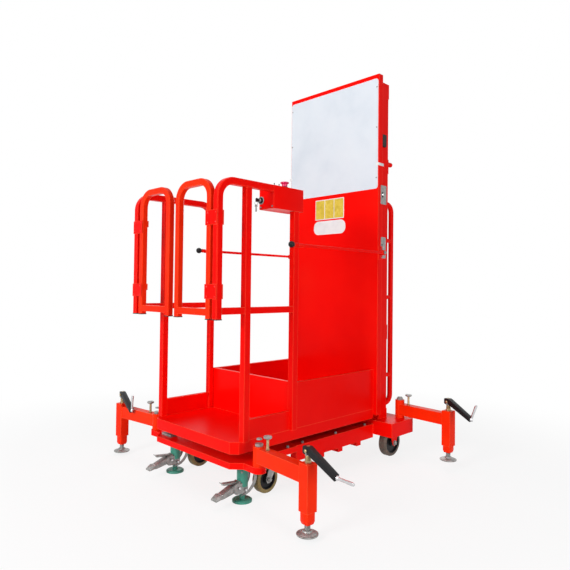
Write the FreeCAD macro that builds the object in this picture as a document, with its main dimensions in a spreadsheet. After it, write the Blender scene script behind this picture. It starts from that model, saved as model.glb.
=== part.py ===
import FreeCAD, Part
import math
import os
import re

# Order picker truck: a person rides the caged platform up a two-stage mast to fetch small goods.
# Frame: millimetres, X to the right as seen from the gates, Y from the gates towards the mast,
# Z up from the floor. The origin is on the floor, under the middle of the truck.

doc = FreeCAD.newDocument("OrderPicker")
sheet = doc.addObject("Spreadsheet::Sheet", "Sizes")

# Columns: name, millimetres (degrees where the note says so), what it measures
SIZES = [
    ("Sheet", 3, "folded sheet of deck, tray, toe boards and panel"),
    ("RunGap", 0.3, "gap left round a turning or sliding piece"),
    ("FaceGap", 0.3, "gap left where a curved face lies on another"),
    # Platform
    ("FrontY", -540.5, "front edge of the platform"),
    ("DeckTop", 272, "standing height of the deck"),
    ("DeckWide", 616, "width over the skirt"),
    ("DeckLong", 966, "front edge to the face of the back panel"),
    ("SkirtHigh", 50, "folded skirt under the deck"),
    ("DeckChamfer", 28, "cut front corners of the deck"),
    ("DeckRibHigh", 30, "cross ribs under the deck"),
    ("ToeHigh", 86, "toe boards beside the feet"),
    ("TrayFront", 352, "front edge of the deck to the tray's front wall"),
    ("TrayHigh", 211, "tray walls above the deck"),
    ("LipDeep", 18, "folded lip along the top of a wall"),
    # Back panel and board
    ("PanelWide", 662, "width of the back panel"),
    ("PanelFoot", 240, "lower edge of the back panel"),
    ("PanelTop", 2086, "top edge of the back panel"),
    ("PanelFlange", 36, "flanges folded back round the panel"),
    ("BoardMargin", 4, "panel showing on each side of the light board"),
    ("BoardFoot", 1461, "lower edge of the board"),
    ("BoardTop", 2062, "top edge of the board"),
    ("BoardRound", 16, "corner radius of the board"),
    # Guards
    ("Tube", 30, "square tube of the guards"),
    ("TubeRound", 3, "cut corner of the square tube"),
    ("MidTube", 28, "square tube of mid rail and gates"),
    ("GuardX", 312, "centre of each side guard"),
    ("RailTop", 1371, "top of the top rail"),
    ("RailBend", 72, "bend of the top rail, on the centre line"),
    ("MidTop", 835, "top of the mid rail"),
    ("LegY", -101, "free leg of the guard, from the platform's front edge"),
    ("LegFoot", 785, "lower end of the free leg"),
    ("PostFrontY", 51, "front post, from the platform's front edge"),
    ("PostRearY", 339, "rear post, from the platform's front edge"),
    ("EndCap", 4, "plastic cap on a tube's end"),
    # Gates
    ("GateOuterX", 264, "centre of a gate's hinge leg"),
    ("GateInnerX", 37, "centre of a gate's free leg"),
    ("GateBend", 68, "bends of a gate, on the centre line"),
    ("GateBarTop", 829, "top of a gate's lower bar"),
    ("HingeHigh", 60, "height of a hinge plate"),
    ("HingeUpper", 1200, "middle of the upper hinge plate"),
    ("HingeLower", 900, "middle of the lower hinge plate"),
    ("HingePin", 10, "knuckle of a gate hinge"),
    # Drop bars
    ("BarOut", 19, "centre of a drop bar outside the panel's edge"),
    ("BarThick", 14, "drop bar diameter"),
    ("BarEye", 18, "width of the eye at a drop bar's pivot"),
    ("BarZ", 1113, "height of a drop bar"),
    ("BarPivotY", 986, "drop bar pivot, from the platform's front edge"),
    ("BarKnobY", 284, "ball knob, from the platform's front edge"),
    ("KnobThick", 30, "ball knob diameter"),
    ("KnobNeck", 12, "middle of a ball knob to its bar's end"),
    ("FerruleThick", 19, "ferrule diameter"),
    ("FerruleLong", 22, "length of the ferrule"),
    ("FerruleIn", 6, "ball knob to the ferrule"),
    ("BarPin", 10, "pivot pin of a drop bar"),
    ("PinOver", 4, "pin beyond its drop bar"),
    # Control box
    ("BoxFrontY", 193, "front of the control box"),
    ("BoxLong", 189, "length of the control box"),
    ("BoxWide", 95, "width of the control box"),
    ("BoxHigh", 103, "height of the control box"),
    ("BoxRound", 4, "edge radius of the control box"),
    ("ButtonThick", 40, "mushroom button diameter"),
    ("ButtonHigh", 24, "height of the mushroom button"),
    ("ButtonIn", 12, "button from the guard's centre line, inwards"),
    ("ButtonY", 92, "button behind the front of the box"),
    # Mast
    ("MastWide", 620, "width over the outer mast"),
    ("MastFrontY", 1014, "front of the mast rails"),
    ("RailDeep", 70, "depth of an outer rail"),
    ("RailWide", 44, "width of an outer rail"),
    ("RailWall", 6, "web and flanges of the rails"),
    ("OuterTop", 2060, "top of the outer mast"),
    ("InnerLong", 1830, "length of the inner mast"),
    ("InnerFoot", 220, "lower end of the inner mast"),
    ("TieHigh", 80, "cross ties between the mast rails"),
    ("InnerGap", 6, "clear gap round the inner rails"),
    ("InnerWide", 40, "width of an inner rail"),
    ("RollerWide", 26, "width of a mast roller"),
    ("RollerStep", 220, "upper roller above the lower one"),
    ("RollerFoot", 60, "lower roller above the inner mast's lower end"),
    ("CarriageRoller", 30, "lower roller above the carriage's lower end"),
    ("CarriageStep", 198, "carriage's upper roller above its lower one"),
    ("CarriageFoot", 260, "lower end of the carriage"),
    ("CarriageHigh", 260, "height of the carriage"),
    ("CarriageBar", 60, "cross bars of the carriage"),
    ("CarriageThick", 8, "plates of the carriage"),
    ("BarrelThick", 54, "cylinder barrel diameter"),
    ("RodThick", 34, "cylinder rod diameter"),
    ("TieLow", 640, "lower cross tie of the outer mast"),
    ("TieUpper", 1560, "upper cross tie of the outer mast"),
    ("ChainX", 60, "lift chains beside the cylinder"),
    ("ChainWide", 16, "width of a lift chain"),
    ("ChainThick", 12, "thickness of a lift chain"),
    ("SheaveThick", 48, "bottom of the sheave's groove, diameter"),
    ("SheaveRim", 7, "depth of the sheave's groove"),
    ("SheaveSide", 3, "sides of the sheave's groove"),
    ("SheaveDrop", 60, "sheave axle below the top of the inner mast"),
    ("SheaveY", 1020, "sheave axle, from the platform's front edge"),
    ("HangerIn", 8, "sheave axle beyond its hanger plate"),
    ("PadFoot", 1700, "lower end of the plastic block on the right rail"),
    ("PadLong", 66, "length of the plastic block"),
    ("PadOut", 14, "plastic block outside the right rail"),
    ("CapHigh", 52, "black cap on the left rail"),
    ("CapDome", 14, "domed top of the cap"),
    ("CapThick", 36, "diameter of the cap"),
    ("BarrelTop", 1800, "top of the cylinder barrel"),
    ("BarrelFloor", 20, "closed lower end of the cylinder barrel"),
    ("RodRest", 10, "lowered rod above the barrel's floor"),
    ("HandleThick", 28, "push handle tube"),
    ("HandleY", 1138, "upright part of the push handle"),
    ("HandleTop", 1392, "upper end of the push handle"),
    ("HandleFoot", 286, "lower end of the push handle"),
    ("HandleBend", 45, "bends of the push handle"),
    ("StubUpper", 1188, "upper stub of the push handle"),
    ("StubMiddle", 872, "middle stub of the push handle"),
    ("StubLower", 440, "lower stub of the push handle"),
    ("StubThick", 22, "diameter of the stubs"),
    ("UnitWide", 370, "width of the power unit"),
    ("UnitDeep", 110, "depth of the power unit"),
    ("UnitHigh", 380, "height of the power unit"),
    ("UnitSlope", 60, "slope of the power unit's upper edge"),
    # Chassis
    ("BeamOuterX", 304, "outer face of a side beam"),
    ("BeamWide", 40, "width of a side beam"),
    ("BeamFoot", 118, "underside of the side beams"),
    ("BeamTop", 190, "top of the side beams"),
    ("FrontFoot", 160, "underside of the front plate"),
    ("FrontTop", 187, "top of the front plate"),
    ("FrontDeep", 400, "depth of the front plate"),
    ("FrontFlare", 14, "front plate beyond the deck's cut corners"),
    ("BeamLap", 20, "side beams inside the front plate"),
    ("SeatWide", 100, "caster seats in the front plate"),
    ("LockSeat", 72, "floor lock seats in the front plate"),
    ("RearWide", 850, "width of the rear box"),
    ("RearY", 972, "front of the rear box, from the platform's front edge"),
    ("RearDeep", 200, "depth of the rear box"),
    ("RearFoot", 136, "underside of the rear box"),
    ("RearTop", 210, "top of the rear box"),
    ("PlateThick", 5, "chassis plate"),
    ("EarOut", 30, "front plate round an outrigger pivot"),
    ("CrossOne", 540, "first cross member, from the platform's front edge"),
    ("CrossTwo", 680, "second cross member, from the platform's front edge"),
    ("CrossThree", 830, "third cross member, from the platform's front edge"),
    ("CrossWide", 34, "width of a cross member"),
    ("CrossDrop", 20, "cross members below the side beams"),
    # Outriggers
    ("BossThick", 50, "pivot boss diameter"),
    ("FrontBossOver", 4, "front boss above its arm"),
    ("RearBossOver", 20, "rear boss above its arm"),
    ("ArmHigh", 60, "outrigger arm height"),
    ("ArmWide", 44, "outrigger arm width"),
    ("ArmLong", 305, "pivot to leg"),
    ("ArmLift", 16, "arm above the seat of its boss"),
    ("FrontPivotX", 388, "front pivots"),
    ("FrontPivotY", 68, "front pivots, from the platform's front edge"),
    ("RearPivotX", 362, "rear pivots"),
    ("RearPivotY", 1140, "rear pivots, from the platform's front edge"),
    ("SwingFront", 6, "degrees a front arm leans to the front"),
    ("SwingRear", 4, "degrees a rear arm leans to the front"),
    ("LegTube", 48, "outer leg tube"),
    ("LegWall", 4, "wall of the outer leg tube"),
    ("LegHigh", 177, "outer leg tube length"),
    ("LegOver", 14, "leg tube above the arm"),
    ("InnerLegHigh", 160, "inner leg tube length"),
    ("FootScrew", 20, "neck between inner leg and foot"),
    ("FootNeck", 24, "length of the neck"),
    ("FootThick", 83, "outrigger foot diameter"),
    ("FootHigh", 14, "outrigger foot height"),
    ("FootRim", 5, "rim of an outrigger foot"),
    ("FrontFootClear", 16, "front feet above the floor"),
    ("RearFootClear", 50, "rear feet above the floor"),
    ("PivotThick", 20, "pivot pin of an outrigger"),
    ("PivotCap", 10, "cap of a pivot pin"),
    ("CapWide", 34, "caps of pivots and locking pins"),
    ("LockPinX", 58, "locking pin from its pivot"),
    ("LockPinHigh", 52, "locking pin above its arm"),
    ("LockPinThick", 9, "locking pin diameter"),
    ("LockPinHead", 5, "head of a locking pin"),
    ("SpindleThick", 14, "upper end of a crank's spindle"),
    ("SpindleFoot", 26, "lower end of a crank's spindle"),
    ("SpindleHigh", 62, "spindle above its leg tube"),
    ("CrankReach", 150, "spindle to the crank's end"),
    ("CrankDrop", 66, "crank's end below its hub"),
    ("CrankDeep", 28, "depth of the folded crank bar at its hub"),
    ("CrankTip", 20, "depth of the folded crank bar at its end"),
    ("CrankWide", 24, "width of the crank bar"),
    ("CrankWall", 2.5, "wall of the crank bar"),
    ("GripLong", 84, "length of the crank's grip"),
    ("GripThick", 12, "diameter of the crank's grip"),
    ("GripIn", 8, "grip's start inside the crank's end"),
    # Wheels
    ("CasterThick", 125, "front wheel diameter"),
    ("CasterTread", 38, "front wheel width"),
    ("CasterX", 250, "front wheels"),
    ("CasterY", 268, "swivel of the front casters"),
    ("CasterTrail", 36, "wheel beside its swivel"),
    ("ForkGap", 3, "wheel's tread to the fork's plates"),
    ("ForkThick", 4, "plates of the caster's fork"),
    ("CrownHigh", 20, "fork's crown above the wheel"),
    ("ForkDeep", 52, "depth of the fork's plates at the crown"),
    ("RaceThick", 64, "swivel race of a caster, diameter"),
    ("WheelThick", 150, "rear wheel diameter"),
    ("WheelTread", 44, "rear wheel width"),
    ("WheelX", 322, "rear wheels"),
    ("WheelY", 1100, "rear wheels"),
    ("AxleThick", 16, "wheel axles"),
    ("WheelPlateGap", 8, "rear wheel to its plates"),
    ("WheelPlateDeep", 76, "plates of a rear wheel at the rear box"),
    ("WheelPlateTip", 32, "rounded tips of the plates of a rear wheel"),
    ("TreadRound", 5, "cut edge of a tread"),
    ("RimDeep", 17, "tread and rim of a wheel"),
    ("WebInset", 10, "web of a wheel below its rim's side"),
    ("HubThick", 44, "hub diameter of a wheel"),
    # Floor locks
    ("LockX", 257, "floor locks"),
    ("LockY", 92, "floor locks, from the platform's front edge"),
    ("LockThick", 48, "floor lock housing diameter"),
    ("LockFoot", 66, "lower end of the housing"),
    ("PadThick", 86, "floor lock pad diameter"),
    ("PadHigh", 12, "floor lock pad height"),
    ("PadStroke", 15, "lift of a floor lock pad"),
    ("PlungerThick", 24, "plunger of a floor lock"),
    ("PlungerIn", 40, "plunger inside its housing"),
    ("PedalWide", 34, "width of a lock pedal"),
    ("PedalWall", 3, "sheet of a lock pedal"),
    ("PedalDeep", 20, "depth of a lock pedal at its housing"),
    ("PedalHigh", 96, "top of a lock pedal at its housing"),
    ("PedalLong", 154, "tip of a lock pedal in front of its plunger"),
    ("PedalTip", 37, "height of the pedal's tip"),
    ("TabLong", 112, "release tab in front of the plunger"),
    ("TabWide", 22, "width of the release tab"),
    ("TabHigh", 118, "height of the release tab at its housing"),
    ("TabTip", 98, "height of the release tab's tip"),
]
for row, (alias, value, note) in enumerate(SIZES, start=1):
    sheet.set("A%d" % row, note)
    sheet.set("B%d" % row, str(value))
    sheet.setAlias("B%d" % row, alias)
doc.recompute()


class Sizes:
    """The sheet's cells as plain numbers, for places that code works out."""


size = Sizes()
for alias, value, note in SIZES:
    setattr(size, alias, float(sheet.get(alias)))

SIDES = [("left", -1), ("right", 1)]
nodes = []


# Helpers


def bound(text):
    """A formula of sheet names, as the sheet's expression engine reads it."""
    return re.sub(r"([A-Za-z]\w*)", r"Sizes.\1", str(text))


def bind(obj, prop, text):
    obj.setExpression(prop, bound(text))


def place(obj, x, y, z):
    for axis, text in zip("xyz", (x, y, z)):
        bind(obj, "Placement.Base." + axis, text)
    return obj


def box(x_from, x_to, y_from, y_to, z_from, z_to):
    """A block between two corners; each entry is a formula of sheet names."""
    block = doc.addObject("Part::Box", "Block")
    bind(block, "Length", "(%s) - (%s)" % (x_to, x_from))
    bind(block, "Width", "(%s) - (%s)" % (y_to, y_from))
    bind(block, "Height", "(%s) - (%s)" % (z_to, z_from))
    return place(block, x_from, y_from, z_from)


AXES = {
    "x": FreeCAD.Rotation(FreeCAD.Vector(0, 1, 0), 90),
    "y": FreeCAD.Rotation(FreeCAD.Vector(1, 0, 0), -90),
    "z": FreeCAD.Rotation(),
}


def rod(axis, thick, length, x, y, z):
    """A round bar from a point along +X, +Y or +Z."""
    bar = doc.addObject("Part::Cylinder", "Rod")
    bind(bar, "Radius", "(%s) / 2" % thick)
    bind(bar, "Height", length)
    bar.Placement = FreeCAD.Placement(FreeCAD.Vector(), AXES[axis])
    return place(bar, x, y, z)


def fuse(*shapes):
    if len(shapes) == 1:
        return shapes[0]
    joined = doc.addObject("Part::MultiFuse", "Fuse")
    joined.Shapes = list(shapes)
    joined.Refine = True
    return joined


def cut(base, *tools):
    result = doc.addObject("Part::Cut", "Cut")
    result.Base = base
    result.Tool = fuse(*tools)
    return result


def group(*shapes):
    """Like pieces that don't touch, kept in one node."""
    kept = doc.addObject("Part::Compound", "Group")
    kept.Links = list(shapes)
    return kept


def node(obj, name):
    obj.Label = name
    nodes.append(obj)
    return obj


def mirrored(obj):
    """The left-hand twin of a right-hand piece."""
    twin = doc.addObject("Part::Mirroring", "Mirror")
    twin.Source = obj
    twin.Normal = (1, 0, 0)
    return twin


def mirror(obj, name):
    return node(mirrored(obj), name)


PLANES = {"XY": "XY_Plane", "XZ": "XZ_Plane", "YZ": "YZ_Plane"}


def prism(plane, outline, start, length, round_by=None):
    """A PartDesign body: one closed outline padded from start by length along +X, +Y or +Z."""
    body = doc.addObject("PartDesign::Body", "Body")
    sketch = body.newObject("Sketcher::SketchObject", "Outline")
    origin = [item for item in body.Origin.OriginFeatures if item.Role == PLANES[plane]][0]
    sketch.AttachmentSupport = [(origin, "")]
    sketch.MapMode = "FlatFace"
    points = [FreeCAD.Vector(u, v, 0) for u, v in outline]
    for first, second in zip(points, points[1:] + points[:1]):
        sketch.addGeometry(Part.LineSegment(first, second), False)
    pad = body.newObject("PartDesign::Pad", "Pad")
    pad.Profile = sketch
    bind(pad, "Length", length)
    # the XZ plane faces -Y, so its pad is turned round
    pad.Reversed = plane == "XZ"
    sign = "-" if plane == "XZ" else ""
    sketch.setExpression("AttachmentOffset.Base.z", bound("%s(%s)" % (sign, start)))
    if round_by:
        doc.recompute()
        edges = []
        normal = {"XY": "z", "XZ": "y", "YZ": "x"}[plane]
        for index, edge in enumerate(pad.Shape.Edges, start=1):
            run = edge.tangentAt(edge.FirstParameter)
            if abs(abs(getattr(run, normal)) - 1) < 0.001:
                edges.append("Edge%d" % index)
        fillet = body.newObject("PartDesign::Fillet", "Rounding")
        fillet.Base = (pad, edges)
        bind(fillet, "Radius", round_by)
        body.Tip = fillet
    return body


def lathe(axis, outline, x, y, z):
    """A PartDesign body: an outline of (radius, height) points revolved about its height axis."""
    body = doc.addObject("PartDesign::Body", "Body")
    sketch = body.newObject("Sketcher::SketchObject", "Outline")
    origin = [item for item in body.Origin.OriginFeatures if item.Role == PLANES["XZ"]][0]
    sketch.AttachmentSupport = [(origin, "")]
    sketch.MapMode = "FlatFace"
    points = [FreeCAD.Vector(radius, height, 0) for radius, height in outline]
    for first, second in zip(points, points[1:] + points[:1]):
        sketch.addGeometry(Part.LineSegment(first, second), False)
    spun = body.newObject("PartDesign::Revolution", "Revolution")
    spun.Profile = sketch
    spun.ReferenceAxis = (sketch, ["V_Axis"])
    body.Placement = FreeCAD.Placement(FreeCAD.Vector(), AXES[axis])
    return place(body, x, y, z)


def square_section(side, corner, centre):
    """A flat square with cut corners, where an upright tube starts."""
    half = side / 2
    flat = half - corner
    points = []
    for turn in range(4):
        spin = FreeCAD.Rotation(FreeCAD.Vector(0, 0, 1), 90 * turn)
        for u, v in ((half, -flat), (half, flat)):
            points.append(centre + spin.multVec(FreeCAD.Vector(u, v, 0)))
    return Part.Face(Part.makePolygon(points + points[:1]))


def tube(points, radius, side, corner):
    """A square tube that starts upright: straight runs joined by bends of one radius."""
    points = [FreeCAD.Vector(*point) for point in points]
    section = square_section(side, corner, points[0])
    runs = []
    start = points[0]
    for before, knee, after in zip(points, points[1:], points[2:]):
        into = (before - knee).normalize()
        out = (after - knee).normalize()
        half = into.getAngle(out) / 2
        enter = knee + into * (radius / math.tan(half))
        centre = knee + (into + out).normalize() * (radius / math.sin(half))
        runs.append(section.extrude(enter - start))
        section.translate(enter - start)
        axis = into.cross(enter - centre)
        bend = 180 - math.degrees(2 * half)
        runs.append(section.revolve(centre, axis, bend))
        section.rotate(centre, axis, bend)
        start = knee + out * (radius / math.tan(half))
    runs.append(section.extrude(points[-1] - start))
    bent = doc.addObject("Part::Feature", "BentTube")
    bent.Shape = runs[0].multiFuse(runs[1:]).removeSplitter()
    return bent


def turned(obj, angle, x, y):
    """Turns a piece built at the origin about Z and moves it to its pivot."""
    spin = FreeCAD.Rotation(FreeCAD.Vector(0, 0, 1), angle)
    obj.Placement = FreeCAD.Placement(FreeCAD.Vector(x, y, 0), spin).multiply(obj.Placement)
    return obj


# Platform: folded deck with a skirt, toe boards, tray


def platform_deck():
    half = size.DeckWide / 2
    front = size.FrontY
    back = size.FrontY + size.DeckLong
    cham = size.DeckChamfer
    wall = size.Sheet

    def outline(inset):
        # the cut corners stay one sheet thick all round
        step = cham + inset * (2 - math.sqrt(2)) - inset
        return [
            (-half + inset, back - inset),
            (-half + inset, front + inset + step),
            (-half + inset + step, front + inset),
            (half - inset - step, front + inset),
            (half - inset, front + inset + step),
            (half - inset, back - inset),
        ]

    tray = prism("XY", outline(0), "DeckTop - SkirtHigh", "SkirtHigh")
    hollow = prism("XY", outline(wall), "DeckTop - SkirtHigh", "SkirtHigh - Sheet")
    deck = cut(tray, hollow)
    ribs = []
    for share in (0.25, 0.5, 0.75):
        rib_y = "FrontY + DeckLong * %g" % share
        ribs.append(
            box(
                "Sheet - DeckWide / 2", "DeckWide / 2 - Sheet",
                rib_y, rib_y + " + Sheet",
                "DeckTop - Sheet - DeckRibHigh", "DeckTop - Sheet",
            )
        )
    node(fuse(deck, *ribs), "platform_deck")


def toe_boards():
    board = box(
        "DeckWide / 2 - Sheet", "DeckWide / 2",
        "FrontY + PostFrontY + Tube / 2 + FaceGap", "FrontY + PostRearY - Tube / 2 - FaceGap",
        "DeckTop", "DeckTop + ToeHigh",
    )
    lip = box(
        "DeckWide / 2 - LipDeep", "DeckWide / 2 - Sheet",
        "FrontY + PostFrontY + Tube / 2 + FaceGap", "FrontY + PostRearY - Tube / 2 - FaceGap",
        "DeckTop + ToeHigh - Sheet", "DeckTop + ToeHigh",
    )
    right = fuse(board, lip)
    node(group(right, mirrored(right)), "toe_boards")


def stock_tray():
    """Open tray: front wall and two sides with folded lips, closed by the back panel."""
    top = "DeckTop + TrayHigh"
    behind = "FrontY + DeckLong - FaceGap"
    pieces = [
        box("-DeckWide / 2", "DeckWide / 2", "FrontY + TrayFront + Sheet", "FrontY + TrayFront + 2 * Sheet",
            "DeckTop", top),
        box("LipDeep - DeckWide / 2", "DeckWide / 2 - LipDeep", "FrontY + TrayFront + 2 * Sheet",
            "FrontY + TrayFront + LipDeep", top + " - Sheet", top),
    ]
    for sign in ("-", ""):
        outer, inner = sorted(["0", "1"], reverse=sign == "-")
        wall_from = "-DeckWide / 2" if sign else "DeckWide / 2 - Sheet"
        wall_to = "Sheet - DeckWide / 2" if sign else "DeckWide / 2"
        lip_from = "-DeckWide / 2" if sign else "DeckWide / 2 - LipDeep"
        lip_to = "LipDeep - DeckWide / 2" if sign else "DeckWide / 2"
        pieces.append(box(wall_from, wall_to, "FrontY + TrayFront + Sheet", behind, "DeckTop", top))
        pieces.append(box(lip_from, lip_to, "FrontY + TrayFront + Sheet", behind, top + " - Sheet", top))
    node(fuse(*pieces), "stock_tray")


# Back panel


def back_panel():
    face = "FrontY + DeckLong"
    skin = box("-PanelWide / 2", "PanelWide / 2", face, face + " + Sheet", "PanelFoot", "PanelTop")
    rims = [
        box("-PanelWide / 2", "Sheet - PanelWide / 2", face, face + " + PanelFlange", "PanelFoot", "PanelTop"),
        box("PanelWide / 2 - Sheet", "PanelWide / 2", face, face + " + PanelFlange", "PanelFoot", "PanelTop"),
        box("-PanelWide / 2", "PanelWide / 2", face, face + " + PanelFlange", "PanelTop - Sheet", "PanelTop"),
    ]
    node(fuse(skin, *rims), "back_panel")


def light_board():
    half = size.PanelWide / 2 - size.BoardMargin
    outline = [
        (-half, size.BoardFoot),
        (half, size.BoardFoot),
        (half, size.BoardTop),
        (-half, size.BoardTop),
    ]
    board = prism("XZ", outline, "FrontY + DeckLong - Sheet", "Sheet", "BoardRound")
    node(board, "light_board")


# Side guards


def side_guards():
    rail_z = size.RailTop - size.Tube / 2
    leg_y = size.FrontY + size.LegY
    post_y = size.FrontY + size.PostRearY
    for name, side in SIDES:
        x = side * size.GuardX
        points = [(x, leg_y, size.LegFoot + size.EndCap), (x, leg_y, rail_z)]
        if side < 0:
            points += [(x, post_y, rail_z), (x, post_y, size.DeckTop)]
        else:
            points += [(x, size.FrontY + size.BoxFrontY, rail_z)]
        loop = tube(points, size.RailBend, size.Tube, size.TubeRound)
        reach = "%d * GuardX" % side
        half = "Tube / 2"
        pieces = [loop]
        front_post = box(
            "%s - %s" % (reach, half), "%s + %s" % (reach, half),
            "FrontY + PostFrontY - Tube / 2", "FrontY + PostFrontY + Tube / 2",
            "DeckTop", "RailTop - Tube",
        )
        pieces.append(front_post)
        if side > 0:
            pieces.append(box(
                "%s - %s" % (reach, half), "%s + %s" % (reach, half),
                "FrontY + PostRearY - Tube / 2", "FrontY + PostRearY + Tube / 2",
                "DeckTop", "RailTop - BoxHigh",
            ))
        for y_from, y_to in (
            ("LegY + Tube / 2", "PostFrontY - Tube / 2"),
            ("PostFrontY + Tube / 2", "PostRearY - Tube / 2"),
        ):
            pieces.append(box(
                "%s - MidTube / 2" % reach, "%s + MidTube / 2" % reach,
                "FrontY + " + y_from, "FrontY + " + y_to,
                "MidTop - MidTube", "MidTop",
            ))
        for level in ("HingeUpper", "HingeLower"):
            x_from = "%s - Tube / 2" % reach if side < 0 else "GateOuterX - MidTube / 2"
            x_to = "-(GateOuterX - MidTube / 2)" if side < 0 else "%s + Tube / 2" % reach
            pieces.append(box(
                x_from, x_to,
                "FrontY + LegY - Tube / 2 - Sheet", "FrontY + LegY - Tube / 2",
                "%s - HingeHigh / 2" % level, "%s + HingeHigh / 2" % level,
            ))
        node(fuse(*pieces), "side_guard_" + name)


def leg_caps():
    caps = []
    for name, side in SIDES:
        reach = "%d * GuardX" % side
        caps.append(box(
            "%s - Tube / 2" % reach, "%s + Tube / 2" % reach,
            "FrontY + LegY - Tube / 2", "FrontY + LegY + Tube / 2",
            "LegFoot", "LegFoot + EndCap",
        ))
    node(group(*caps), "leg_caps")


# Gates: a hairpin of square tube each, hung on the free legs


def gates():
    gate_y = size.FrontY + size.LegY
    top_z = size.RailTop - size.MidTube / 2
    for name, side in SIDES:
        outer = side * size.GateOuterX
        inner = side * size.GateInnerX
        foot = size.LegFoot + size.EndCap
        hairpin = tube(
            [(outer, gate_y, foot), (outer, gate_y, top_z), (inner, gate_y, top_z), (inner, gate_y, foot)],
            size.GateBend, size.MidTube, size.TubeRound,
        )
        x_from, x_to = ("-GateOuterX", "-GateInnerX") if side < 0 else ("GateInnerX", "GateOuterX")
        bar = box(
            x_from, x_to, "FrontY + LegY - MidTube / 2", "FrontY + LegY + MidTube / 2",
            "GateBarTop - MidTube", "GateBarTop",
        )
        knuckles = []
        for level in ("HingeUpper", "HingeLower"):
            hinge_x = "(GuardX + GateOuterX) / 2"
            back = "FrontY + LegY + MidTube / 2"
            pin_y = "FrontY + LegY + Tube / 2 + HingePin / 2"
            leaf = box("GateOuterX - MidTube / 2", hinge_x, back, "FrontY + LegY + Tube / 2 + Sheet",
                       level + " + RunGap / 2", level + " + HingeHigh / 2")
            barrel = rod("z", "HingePin", "HingeHigh / 2 - RunGap / 2", hinge_x, pin_y,
                         level + " + RunGap / 2")
            bore = rod("z", "HingePin / 2 + 0.1", "HingeHigh", hinge_x, pin_y, level)
            knuckle = cut(fuse(leaf, barrel), bore)
            knuckles.append(knuckle if side > 0 else mirrored(knuckle))
        node(fuse(hairpin, bar, *knuckles), "gate_" + name)
        caps = []
        for reach in ("GateOuterX", "GateInnerX"):
            reach = "%d * %s" % (side, reach)
            caps.append(box(
                "%s - MidTube / 2" % reach, "%s + MidTube / 2" % reach,
                "FrontY + LegY - MidTube / 2", "FrontY + LegY + MidTube / 2",
                "LegFoot", "LegFoot + EndCap",
            ))
        node(group(*caps), "gate_caps_" + name)


def gate_hinges():
    """Back leaf and knuckle of each gate hinge; the gate's own leaf turns on the pin."""
    leaves = []
    for level in ("HingeUpper", "HingeLower"):
        low = level + " - HingeHigh / 2"
        high = level + " + HingeHigh / 2"
        hinge_x = "(GuardX + GateOuterX) / 2"
        back = "FrontY + LegY + Tube / 2"
        leaf = box(hinge_x, "GuardX + Tube / 2", back, back + " + Sheet", low, high)
        knuckle = rod("z", "HingePin", "HingeHigh / 2 - RunGap / 2", hinge_x, back + " + HingePin / 2", low)
        pin = rod("z", "HingePin / 2", "HingeHigh", hinge_x, back + " + HingePin / 2", low)
        fixed = fuse(leaf, knuckle, pin)
        window = box(hinge_x + " - HingePin", hinge_x + " + HingePin / 2 + RunGap", back + " - 1",
                     back + " + HingePin + 1", level + " - RunGap / 2", high)
        keep_pin = rod("z", "HingePin / 2", "HingeHigh / 2", hinge_x, back + " + HingePin / 2", level)
        fixed = fuse(cut(fixed, window), keep_pin)
        leaves += [fixed, mirrored(fixed)]
    node(group(*leaves), "gate_hinges")


def ball_outline(radius, steps, flat):
    """Half a ball's outline in straight steps, with its foot cut flat."""
    start = math.asin(-flat / radius)
    points = [(0, -flat)]
    for step in range(steps):
        angle = start + (math.pi / 2 - start) * step / steps
        points.append((radius * math.cos(angle), radius * math.sin(angle)))
    return points + [(0, radius)]


def drop_bars():
    bar_x = "(PanelWide / 2 + BarOut)"
    pivot_y = "FrontY + BarPivotY"
    knob_y = "FrontY + BarKnobY"
    rail = rod("y", "BarThick", "BarPivotY - BarKnobY - KnobNeck - BarThick * 0.7", bar_x,
               knob_y + " + KnobNeck", "BarZ")
    ferrule = rod("y", "FerruleThick", "FerruleLong", bar_x, knob_y + " + KnobNeck + FerruleIn", "BarZ")
    eye = rod("x", "BarThick * 2", "BarEye", bar_x + " - BarEye / 2", pivot_y, "BarZ")
    hole = rod("x", "BarPin + 2 * RunGap", "BarEye * 2", bar_x + " - BarEye", pivot_y, "BarZ")
    right = node(cut(fuse(rail, ferrule, eye), hole), "drop_bar_right")
    mirror(right, "drop_bar_left")
    # the flat foot of the knob lies on the bar's end
    outline = [(radius, -height) for radius, height in ball_outline(size.KnobThick / 2, 6, size.KnobNeck)]
    knob = node(lathe("y", outline, bar_x, knob_y, "BarZ"), "bar_knob_right")
    mirror(knob, "bar_knob_left")
    pin = rod("x", "BarPin", "BarOut + BarEye / 2 + PinOver", "PanelWide / 2", pivot_y, "BarZ")
    bracket = box("PanelWide / 2", "PanelWide / 2 + Sheet", pivot_y + " - PanelFlange / 2",
                  pivot_y + " + PanelFlange / 2", "BarZ - PanelFlange", "BarZ + PanelFlange")
    pivot = fuse(pin, bracket)
    rest_low = box(
        "GuardX + Tube / 2", bar_x + " + BarThick / 2 + Sheet",
        "FrontY + PostRearY - Tube / 2", "FrontY + PostRearY + Tube / 2",
        "BarZ - BarThick / 2 - FaceGap - Sheet", "BarZ - BarThick / 2 - FaceGap",
    )
    rest_side = box(
        bar_x + " + BarThick / 2 + FaceGap", bar_x + " + BarThick / 2 + Sheet + FaceGap",
        "FrontY + PostRearY - Tube / 2", "FrontY + PostRearY + Tube / 2",
        "BarZ - BarThick / 2 - FaceGap - Sheet", "BarZ",
    )
    rest = fuse(rest_low, rest_side)
    node(group(pivot, mirrored(pivot)), "bar_pivots")
    node(group(rest, mirrored(rest)), "bar_rests")


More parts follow.
